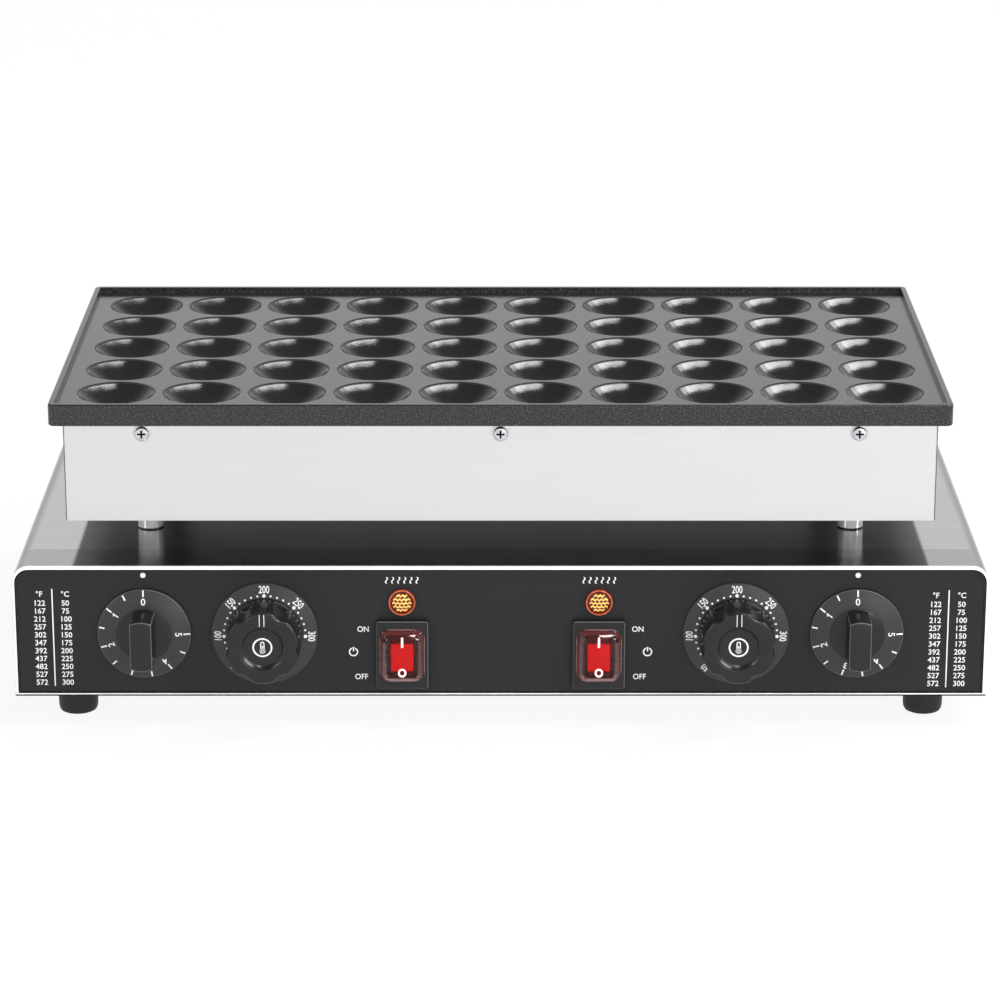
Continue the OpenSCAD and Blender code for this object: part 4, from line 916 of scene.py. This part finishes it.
def coneLayer(outerR, innerR, edge, top):
    # gives a function that lays marks on a sloping ring, their tops outwards
    slope = math.atan2(top - edge, outerR - innerR)

    def lay(obj, radius, angle):
        height = edge + (outerR - radius) * math.tan(slope)
        spot = Matrix.Translation((0, radius, height)) @ Matrix.Rotation(-slope, 4, "X")
        applyMatrix(obj, turnBy(angle - 90, "Z") @ spot)
        return obj

    return lay


# timer knobs: a numbered skirt, a dark boss in it and a grip bar across the boss
timerKnob = {
    "sides": 128, "skirtR": 26.8, "edge": 1.4, "rise": 3.6, "skirtRound": 0.3, "skirtAngle": 50,
    "bossR": 16, "bossStep": 0.3, "bossShoulderR": 15.8, "bossTopR": 12.4, "bossTop": 4.6,
    "gripR": 15.4, "gripW": 13, "gripTop": 24.6, "gripTaper": 0.96, "gripRound": 0.45, "gripAngle": 35,
    "tickR": 24.5, "tickLong": 3.8, "tickShort": 3.3, "tickW": 0.9, "digitR": 19.6, "digitSize": 5.6,
    "perMinute": 54, "minutes": 6,
}


def timerBody(s):
    skirt = turned([(s["skirtR"], 0), (s["skirtR"], s["edge"]), (s["bossR"], s["rise"])], s["sides"])
    # the bevel faces take the painted-highlight plastic
    dress(skirt, "skirtSatin", "rubbedEdge")
    roundEdges(skirt, s["skirtRound"], 3, s["skirtAngle"], 1)
    boss = turned([(s["bossR"], s["rise"] - s["bossStep"]), (s["bossShoulderR"], s["rise"] + s["bossStep"]),
                   (s["bossTopR"], s["bossTop"])], s["sides"])
    dress(boss, "knobPlastic", "rubbedEdge")
    grip = startCircle(s["sides"], s["gripR"], s["edge"])
    for side in (-1, 1):
        editAll()
        bpy.ops.mesh.bisect(plane_co=(side * s["gripW"] / 2, 0, 0), plane_no=(side, 0, 0), clear_outer=True)
    editAll()
    raiseFaces(s["gripTop"] - s["edge"])
    narrow(s["gripTaper"], s["gripTop"])
    recalculate()
    dress(grip, "knobPlastic", "rubbedEdge")
    roundEdges(grip, s["gripRound"], 3, s["gripAngle"], 1)
    return [skirt, boss, grip]


def timerScale(s):
    lay = coneLayer(s["skirtR"], s["bossR"], s["edge"], s["rise"])
    marks = []
    wholeTicks = copiesOf(inkBar(s["tickW"], s["tickLong"]), s["minutes"])
    halfTicks = copiesOf(inkBar(s["tickW"], s["tickShort"]), s["minutes"] - 1)
    for minute, tick in enumerate(wholeTicks):
        angle = 90 + minute * s["perMinute"]
        marks.append(lay(tick, s["tickR"], angle))
        for stroke in inkDigit(str(minute), s["digitSize"]):
            marks.append(lay(stroke, s["digitR"], angle))
    for minute, tick in enumerate(halfTicks):
        marks.append(lay(tick, s["tickR"], 90 + (minute + 0.5) * s["perMinute"]))
    return marks


timerSeats = [seatOf(f"timer_knob_{side}") for side in sides]
timerModel = joinAs("timerKnob", timerBody(timerKnob))
placePair(timerModel, timerSeats, "timer_{}", None, "timer_knob_{}")
timerMarks = joinAs("timerScale", timerScale(timerKnob))
placePair(timerMarks, timerSeats, "timer_{}", "legendInk")
print("timer knobs made")

# thermostat knobs: a collar, a lobed grip, a dish with a ring and a thermometer sign, and a pointer groove
thermoKnob = {
    "radius": 21.8, "height": 25.6, "collar": 4, "collarRound": 0.6, "collarSides": 128, "lap": 0.3,
    "lobes": 6, "lobeSides": 240, "hollowR": 7.5, "hollowDepth": 1.9, "soft": 2.2, "taper": 0.98,
    "topRound": 1.5, "topSteps": 5, "dishDepth": 2.5,
    # rings of the dish, their heights counted from the knob's top
    "dish": ((10.2, -2.5), (10.9, -2.38), (12.7, -0.45), (13.3, -0.12), (13.9, 0.02), (13.9, 1)),
    "pointerW": 2.2, "pointerLong": 8.4, "pointerDepth": 0.6, "pointerPast": 2,
    "signR": 5.7, "signLine": 0.95, "signSides": 64, "bulbSides": 28,
    "stemW": 2.5, "stemLine": 0.6, "stemLong": 4.4, "columnShare": 0.7,
    "stemSplit": 0.001, "bulbAt": -2.1, "bulbR": 1.65,
    "lineW": 0.42, "lineLong": 7.2, "lineAt": 16.9,
}


def lobeRadius(s, angle):
    # the round outline softly met by the nearest hollow; a lobe stands at the top
    step = 2 * math.pi / s["lobes"]
    off = (angle - math.pi / 2) % step - step / 2
    reach = s["radius"] - s["hollowDepth"] + s["hollowR"]
    across = reach * math.sin(off)
    if abs(across) >= s["hollowR"]:
        return s["radius"]
    hollow = reach * math.cos(off) - math.sqrt(s["hollowR"] ** 2 - across ** 2)
    near = math.exp(-s["soft"] * (hollow - s["radius"]))
    return s["radius"] - math.log(1 + near) / s["soft"]


def thermoGrip(s):
    height, share = s["collar"] - s["lap"], 1
    grip = startCircle(s["lobeSides"], s["radius"], height)
    for vertex in grip.data.vertices:
        angle = math.atan2(vertex.co.y, vertex.co.x)
        radius = lobeRadius(s, angle)
        vertex.co.x = radius * math.cos(angle)
        vertex.co.y = radius * math.sin(angle)
    editAll()
    for step in range(s["topSteps"] + 1):
        turn = math.pi / 2 * step / s["topSteps"]
        newHeight = s["height"] - s["topRound"] * (1 - math.sin(turn))
        newShare = s["taper"] - s["topRound"] / s["radius"] * (1 - math.cos(turn))
        raiseFaces(newHeight - height)
        narrow(newShare / share, newHeight)
        height, share = newHeight, newShare
    recalculate()
    return grip


def thermoBody(s):
    collar = turned([(s["radius"], 0), (s["radius"], s["collar"])], s["collarSides"])
    roundEdges(collar, s["collarRound"])
    grip = thermoGrip(s)
    cutAway(grip, turned([(radius, s["height"] + depth) for radius, depth in s["dish"]]))
    long = s["pointerLong"] + s["pointerPast"]
    groove = boxCutter(s["pointerW"], long, 0, s["pointerPast"])
    shift(groove, 0, s["radius"] + s["pointerPast"] - long / 2, s["height"] - s["pointerDepth"])
    cutAway(grip, groove)
    return [collar, grip]


def thermoSign(s):
    floor = s["height"] - s["dishDepth"]
    ring = shift(inkRing(s["signR"], s["signR"] - s["signLine"], s["signSides"]), 0, 0, floor)
    stem = inkRing(s["stemW"] / 2, s["stemW"] / 2 - s["stemLine"])
    for vertex in stem.data.vertices:
        if vertex.co.y > s["stemSplit"]:
            vertex.co.y += s["stemLong"]
    shift(stem, 0, s["bulbAt"], floor)
    bulb = shift(inkDot(s["bulbR"], s["bulbSides"]), 0, s["bulbAt"], floor)
    columnLong = s["stemLong"] * s["columnShare"]
    column = shift(inkBar(s["stemLine"], columnLong), 0, s["bulbAt"] + columnLong / 2, floor)
    lines = copiesOf(inkBar(s["lineW"], s["lineLong"]), 2)
    for across, line in zip((-1, 1), lines):
        shift(line, across * (s["pointerW"] + s["lineW"]) / 2, s["lineAt"], s["height"])
    return [ring, stem, bulb, column] + lines


thermoSeats = [seatOf(f"thermostat_knob_{side}") for side in sides]
thermoModel = joinAs("thermostatKnob", thermoBody(thermoKnob))
placePair(thermoModel, thermoSeats, "thermostat_{}", "knobPlastic", "thermostat_knob_{}")
thermoMarks = joinAs("thermostatSign", thermoSign(thermoKnob))
placePair(thermoMarks, thermoSeats, "thermostat_{}", "legendInk")
print("thermostat knobs made")

# numbers and dots on the fixed rings round the thermostat knobs
thermoRing = {
    "outerR": 30.4, "innerR": 22.2, "edge": 1.4, "top": 3.2, "dotR": 23.4, "smallDot": 0.6, "bigDot": 1.0,
    "numberR": 26.7, "numberSize": 5.2, "numberWide": 0.8, "numberTall": 1.16, "topNumber": 200,
    "numbers": (50, 100, 150, 200, 250, 300), "perNumber": 46.5, "dotsBetween": 5,
}


def ringScale(s):
    lay = coneLayer(s["outerR"], s["innerR"], s["edge"], s["top"])
    step = s["numbers"][1] - s["numbers"][0]
    angles = [90 - (number - s["topNumber"]) / step * s["perNumber"] for number in s["numbers"]]
    part = s["perNumber"] / s["dotsBetween"]
    between = [angle - part * i for angle in angles[:-1] for i in range(1, s["dotsBetween"])]
    marks = []
    for number, angle in zip(s["numbers"], angles):
        label = inkText(str(number), s["numberSize"])
        applyMatrix(label, Matrix.Diagonal((s["numberWide"], s["numberTall"], 1, 1)))
        marks.append(lay(label, s["numberR"], angle))
    for dotR, spots in ((s["bigDot"], angles), (s["smallDot"], between)):
        for dot, angle in zip(copiesOf(inkDot(dotR), len(spots)), spots):
            marks.append(lay(dot, s["dotR"], angle))
    return marks


ringSeats = [seatOf(f"thermostat_bezel_{side}") for side in sides]
placePair(joinAs("thermostatScale", ringScale(thermoRing)), ringSeats, "frame", "legendInk")
print("thermostat scales made")

# lamps: a rimmed lens with a dome in its well and zigzag ridges across the dome
lampLens = {
    "rings": [(5.5, -2.5), (5.5, 0), (7.8, 0), (7.8, 1.4), (7.7, 2.0), (7.3, 2.5), (6.9, 2.35), (6.4, 1.6),
              (6.1, 1.2), (6.1, 0.7)],
    "crestFrom": 2.05, "domeR": 5.9, "domeBase": 0.8, "domeFoot": 1.4, "domeTop": 3.1,
    "domeRings": (5.2, 4.4, 3.4, 2.3, 1.2), "rows": 5, "rowStep": 2.15, "halfTooth": 1.15, "swing": 0.48,
    "ridgeWide": 0.9, "ridgeShort": 0.4, "ridgeSunk": 0.2, "ridgeTall": 0.6, "ridgeRound": 0.1,
    "ridgeAngle": 30, "rimSides": 72, "domeSides": 48,
}


def domeHeight(s, radius):
    share = min(1, radius / s["domeR"])
    return s["domeTop"] - (s["domeTop"] - s["domeFoot"]) * share ** 2


def lensRim(s):
    rim = turned(s["rings"], s["rimSides"])
    dress(rim, "amberWell", "amberRim")
    # painted highlight: the crest's faces take the paler finish
    for face in rim.data.polygons:
        face.material_index = 1 if face.center.z > s["crestFrom"] else 0
    return rim


def lensDome(s):
    rings = [(s["domeR"], s["domeBase"]), (s["domeR"], s["domeFoot"])]
    dome = turned(rings + [(radius, domeHeight(s, radius)) for radius in s["domeRings"]], s["domeSides"])
    dress(dome, "amberDark")
    return dome


def zigzagRidge(s, row):
    half = math.sqrt(s["domeR"] ** 2 - (abs(row) + s["swing"]) ** 2) - s["ridgeShort"]
    teeth = max(2, round(2 * half / s["halfTooth"]))
    ridge = startGrid(teeth, 1)
    for vertex in ridge.data.vertices:
        column = round((vertex.co.x + 0.5) * teeth)
        swing = s["swing"] if column % 2 else -s["swing"]
        x = vertex.co.x * 2 * half
        y = row + vertex.co.y * s["ridgeWide"] + swing
        vertex.co = (x, y, domeHeight(s, math.hypot(x, y)) - s["ridgeSunk"])
    thicken(s["ridgeTall"])
    dress(ridge, "amberBright")
    roundEdges(ridge, s["ridgeRound"], 2, s["ridgeAngle"])
    return ridge


def lensRidges(s):
    middle = (s["rows"] - 1) / 2
    return [zigzagRidge(s, (row - middle) * s["rowStep"]) for row in range(s["rows"])]


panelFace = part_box("panel_overlay")[0].y
lampSeats = [(middleOf(f"lamp_lens_{side}").x, panelFace, middleOf(f"lamp_lens_{side}").z) for side in sides]
lensParts = [lensRim(lampLens), lensDome(lampLens)] + lensRidges(lampLens)
placePair(joinAs("lampLens", lensParts), lampSeats, "frame", None, "lamp_lens_{}")
print("lamps made")

# rockers: a hollowed face on a cross pin, with the on and off marks
rocker = {
    "width": 13, "tall": 24, "rows": 16, "back": -2.2, "out": 3.6, "rise": 2.1, "edge": 0.6, "edgeAngle": 40,
    "tilt": 10, "pinR": 1.2, "pinLong": 15.8, "pinSides": 24,
    "onAt": 7.1, "onTall": 5.9, "onWide": 1.25, "offAt": -10.4, "offR": 2.4, "offLine": 1.0,
}


def rockerFace(s, y):
    return s["out"] + s["rise"] * (2 * y / s["tall"]) ** 2


def rockerBody(s):
    body = startGrid(1, s["rows"])
    applyMatrix(body, Matrix.Translation((0, 0, s["back"])) @ Matrix.Diagonal((s["width"], s["tall"], 1, 1)))
    thicken(s["out"] - s["back"])
    for vertex in body.data.vertices:
        if vertex.co.z > 0:
            vertex.co.z = rockerFace(s, vertex.co.y)
    roundEdges(body, s["edge"], 3, s["edgeAngle"])
    pin = turned([(s["pinR"], -s["pinLong"] / 2), (s["pinR"], s["pinLong"] / 2)], s["pinSides"])
    applyMatrix(pin, turnBy(90, "Y"))
    return [body, pin]


def onRocker(obj, s, y):
    # lays a flat mark along the hollow face
    for vertex in obj.data.vertices:
        vertex.co.y += y
        vertex.co.z += rockerFace(s, vertex.co.y)
    return obj


def rockerMarks(s):
    onMark = onRocker(inkWave(s["onWide"], s["onTall"], 0), s, s["onAt"])
    offMark = onRocker(inkRing(s["offR"], s["offR"] - s["offLine"]), s, s["offAt"])
    return [onMark, offMark]


jointAt = {joint["child"]: joint["pos_m"] for joint in frame["joints"]}
rockerSeats = [jointAt[f"rocker_{side}"] for side in sides]
press = turnBy(-rocker["tilt"], "X")
rockerModel = joinAs("rockerBody", rockerBody(rocker))
applyMatrix(rockerModel, press)
placePair(rockerModel, rockerSeats, "rocker_{}", "rockerRed", "rocker_{}")
marksModel = joinAs("rockerMarks", rockerMarks(rocker))
applyMatrix(marksModel, press)
placePair(marksModel, rockerSeats, "rocker_{}", "litMark")
print("rockers made")

# switch covers: a lip on the frame, a steep wall and an even bevel round the clear front
switchCover = {
    "lip": (26.2, 32), "lipTop": 0.9, "lipWide": 0.95, "wallIn": 0.5, "wallTall": 3.34, "bevelIn": 2.4,
    "bevelTall": 2.36, "top": 6.6, "corner": 6, "cornerSteps": 5, "edge": 0.45, "edgeAngle": 20, "wall": 1,
    "wallUpright": 0.6, "bevelUpright": 0.9, "lipOver": 0.1, "lipFacing": 0.2, "lipPast": 0.5,
    "openBack": 0.9,
}


def beyond(point, size, margin):
    return abs(point.x) > size[0] / 2 + margin or abs(point.y) > size[1] / 2 + margin


def coverShell(s):
    shell = roundedPlate(*s["lip"], s["corner"], s["cornerSteps"])
    bpy.ops.mesh.select_all(action="SELECT")
    raiseFaces(s["lipTop"])
    for inwards, tall in ((s["lipWide"], 0), (s["wallIn"], s["wallTall"]), (s["bevelIn"], s["bevelTall"])):
        bpy.ops.mesh.inset(thickness=inwards, depth=tall)
    recalculate()
    deleteFaces(shell, lambda face: face.normal.z < -s["openBack"])
    roundEdges(shell, s["edge"], 3, s["edgeAngle"])
    useModifier(shell, "SOLIDIFY", thickness=s["wall"], offset=-1)
    dress(shell, "coverRed", "coverBevel", "coverWall", "coverLip")
    foot = [side - 2 * s["lipWide"] for side in s["lip"]]
    for face in shell.data.polygons:
        slope = abs(face.normal.z)
        outside = face.normal.z > s["lipFacing"] and beyond(face.center, foot, s["lipPast"])
        if outside and face.center.z < s["lipTop"] + s["lipOver"]:
            face.material_index = 3
        elif slope < s["wallUpright"]:
            face.material_index = 2
        else:
            face.material_index = 1 if slope < s["bevelUpright"] else 0
    return shell


coverSeats = []
for side in sides:
    low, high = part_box(f"switch_cover_{side}")
    coverSeats.append(((low.x + high.x) / 2, low.y + switchCover["top"] * mm, (low.z + high.z) / 2))
coverModel = joinAs("switchCover", [coverShell(switchCover)])
placePair(coverModel, coverSeats, "frame", None, "switch_cover_{}")
print("switch covers made")

# the film's lapped edge, a black ring round it painted as its shadow line, and a hem under it painted near white,
# a painted highlight
filmEdge = {
    "lapSide": 0.5, "lapTop": 1.1, "seal": 0.6, "corner": 7.5, "cornerSteps": 8,
    "proud": 0.04, "thick": 0.07, "hemFoot": 0.85, "hemTop": 1.64, "hemSide": 0.3, "hemRound": 0.028,
}


def flatRing(outer, inner, drop, corner, s):
    plate = roundedPlate(*outer, corner, s["cornerSteps"], topOnly=True)
    bpy.ops.mesh.select_all(action="SELECT")
    raiseFaces(0)
    ratio = (inner[0] / outer[0], inner[1] / outer[1], 1)
    bpy.ops.transform.resize(value=ratio, center_override=(0, 0, 0))
    bpy.ops.transform.translate(value=(0, -drop, 0))
    bpy.ops.mesh.delete(type="ONLY_FACE")
    bpy.ops.object.mode_set(mode="OBJECT")
    deleteFaces(plate, lambda face: len(face.vertices) > 4)
    thicken(s["thick"])
    return plate


def makeFilmEdge(s):
    low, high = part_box("panel_overlay")
    baseLow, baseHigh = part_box("base_shell")
    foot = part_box("bottom_plate")[0].z
    film = ((high.x - low.x) / mm, (high.z - low.z) / mm)
    lapFoot = (low.z - foot) / mm - s["hemTop"] - s["seal"]
    lift = (s["lapTop"] - lapFoot) / 2  # the ring's middle stands this far above the film's
    lapped = (film[0] + 2 * s["lapSide"], film[1] + s["lapTop"] + lapFoot)
    shadowLineOuter = (lapped[0] + 2 * s["seal"], lapped[1] + 2 * s["seal"])
    front = baseLow.y - s["proud"] * mm + s["thick"] * mm
    middle = (low.x + high.x) / 2
    place = (middle, front, (low.z + high.z) / 2 + lift * mm)
    edge = joinAs("overlayEdge", [flatRing(lapped, film, lift, s["corner"], s)])
    settle(edge, place)
    finishPiece(edge, "frame", "panelFilm")
    # painted shade: the black ring stands for the shadow line round the film
    seal = joinAs("overlaySeal", [flatRing(shadowLineOuter, lapped, 0, s["corner"] + s["seal"], s)])
    settle(seal, place)
    finishPiece(seal, "frame", "sealBlack")
    # painted highlight: the strip along the foot of the front is near white
    wide = (baseHigh.x - baseLow.x) / mm - 2 * s["hemSide"]
    hem = joinAs("frontHem", [boxCutter(wide, s["hemTop"] - s["hemFoot"], 0, s["thick"])])
    roundEdges(hem, s["hemRound"], 2)
    settle(hem, (middle, front, foot + (s["hemTop"] + s["hemFoot"]) / 2 * mm))
    finishPiece(hem, "frame", "hemSteel")


makeFilmEdge(filmEdge)
print("film edge made")

# feet: a bulged rubber block with a rounded floor edge and a bolt recess
rubberFoot = {
    "rings": [(5.2, 8), (5.2, 0.6), (5.7, 0), (9.4, 0), (10.4, 0.5), (11.1, 1.8), (11.45, 4), (11.5, 8),
              (11.5, 18.2), (11.2, 19.2), (10.6, 19.5)],
    "sides": 72,
}
feet = [f"{end}_{side}" for end in ("front", "back") for side in sides]
footModel = turned(rubberFoot["rings"], rubberFoot["sides"])
for corner, foot in zip(feet, copiesOf(footModel, len(feet))):
    low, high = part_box(f"foot_{corner}")
    nameAs(foot, f"rubberFoot_{corner}")
    spot = Matrix.Translation(((low.x + high.x) / 2, (low.y + high.y) / 2, low.z))
    applyMatrix(foot, spot @ toMetres)
    finishPiece(foot, "frame", "footRubber", [f"foot_{corner}"])
print("feet made")

# plate screws: pan heads with their cross recess painted black, painted shade, three along the front and three
# along the back
plateScrew = {
    "rings": [(2.4, -8), (2.4, 0), (4.2, 0), (4.2, 1.2), (4.0, 1.9), (3.5, 2.4), (2.6, 2.6)], "sides": 48,
    "crossWide": 1.1, "crossLong": 4.8, "crossDeep": 1.5, "crossShare": 0.55, "topSkin": 0.05,
    "washerR": 5.2,
}


def screwModel(s):
    screw = turned(s["rings"], s["sides"])
    dress(screw, "zincPlate", "sealBlack")
    top = s["rings"][-1][1]
    for size in ((s["crossWide"], s["crossLong"]), (s["crossLong"], s["crossWide"])):
        cutAway(screw, boxCutter(*size, top - s["crossDeep"], top + spare))
    for face in screw.data.polygons:
        # painted shade: the faces inside the cross take the black finish
        near = face.center.xy.length < s["crossLong"] * s["crossShare"]
        face.material_index = 1 if near and 0 < face.center.z < top - s["topSkin"] else 0
    return screw


def placeScrews(s):
    low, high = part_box("plate_washers")
    edge = s["washerR"] * mm
    places = []
    for x in (low.x + edge, (low.x + high.x) / 2, high.x - edge):
        places += [(x, low.y, 0), (x, high.y, 180)]
    screws = copiesOf(screwModel(s), len(places))
    for (x, y, turn), screw in zip(places, screws):
        spot = Matrix.Translation((x, y, (low.z + high.z) / 2))
        applyMatrix(screw, spot @ turnBy(turn, "Z") @ turnBy(90, "X") @ toMetres)
    finishPiece(joinAs("plateScrews", screws), "frame", None, ["plate_screws"])


placeScrews(plateScrew)
print("plate screws made")

# panel print: index dots, heat and power signs, ON and OFF, and the two number tables
panelPrint = {
    "indexRise": 92.8, "indexR": 1.55, "heatRise": 89.8, "heatTall": 3.9, "heatStep": 3.5, "heatWide": 0.75,
    "heatSwing": 0.55, "heatCount": 6, "wordSize": 4.7, "wordWide": 0.93, "onX": 78.9, "onRise": 60.0,
    "offX": 80.1, "offRise": 31.0, "powerX": 84.6, "powerRise": 46.3, "powerR": 2.7, "powerLine": 0.75,
    "powerGap": 1.65, "powerBarAt": 1.674, "tableX": 256.9, "columnGap": 7.45, "headRise": 81.3,
    "firstRise": 75.84, "rowStep": 4.83, "rowSize": 4.6, "ruleTop": 84.6, "ruleFoot": 25.4, "ruleWide": 0.7,
    "celsius": range(50, 301, 25), "rightDrop": 0.8, "indexSides": 28, "powerSides": 48,
}


def powerSign(s):
    ring = inkRing(s["powerR"], s["powerR"] - s["powerLine"], s["powerSides"])
    cutAway(ring, shift(boxCutter(s["powerGap"], s["powerR"], -spare, spare), 0, s["powerR"]))
    return [ring, shift(inkBar(s["powerLine"], s["powerR"]), 0, s["powerBarAt"])]


def numberTable(s):
    fahrenheit = [round(c * 9 / 5 + 32) for c in s["celsius"]]
    columns = ((-s["columnGap"], "°F", fahrenheit), (s["columnGap"], "°C", s["celsius"]))
    marks = []
    for across, head, numbers in columns:
        marks.append(shift(inkText(head, s["rowSize"]), across, s["headRise"]))
        for row, number in enumerate(numbers):
            rise = s["firstRise"] - row * s["rowStep"]
            marks.append(shift(inkText(str(number), s["rowSize"]), across, rise))
    ruleLong = s["ruleTop"] - s["ruleFoot"]
    marks.append(shift(inkBar(s["ruleWide"], ruleLong), 0, s["ruleFoot"] + ruleLong / 2))
    return marks


def heatSign(s):
    waves = copiesOf(inkWave(s["heatWide"], s["heatTall"], s["heatSwing"]), s["heatCount"])
    for i, wave in enumerate(waves):
        shift(wave, (i - (s["heatCount"] - 1) / 2) * s["heatStep"], 0)
    return waves


def word(letters, s):
    label = inkText(letters, s["wordSize"])
    applyMatrix(label, Matrix.Diagonal((s["wordWide"], 1, 1, 1)))
    return [label]


def printPair(label, marks, reach, rise, rightDrop=0):
    places = [(-reach * mm, panelFace, rise * mm), (reach * mm, panelFace, (rise - rightDrop) * mm)]
    placePair(joinAs(label, marks), places, "frame", "legendInk")


def printPanel(s):
    timerReach = middleOf("timer_knob_right").x / mm
    lampReach = middleOf("lamp_lens_right").x / mm
    printPair("indexDot", [inkDot(s["indexR"], s["indexSides"])], timerReach, s["indexRise"])
    printPair("heatSign", heatSign(s), lampReach, s["heatRise"])
    printPair("powerSign", powerSign(s), s["powerX"], s["powerRise"])
    printPair("wordOn", word("ON", s), s["onX"], s["onRise"])
    printPair("wordOff", word("OFF", s), s["offX"], s["offRise"])
    printPair("numberTable", numberTable(s), s["tableX"], 0, s["rightDrop"])


printPanel(panelPrint)
print("panel print made")

boxes = {"cad": cadBox, "visual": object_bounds()}
plain = {key: [[float(value) for value in corner] for corner in box] for key, box in boxes.items()}
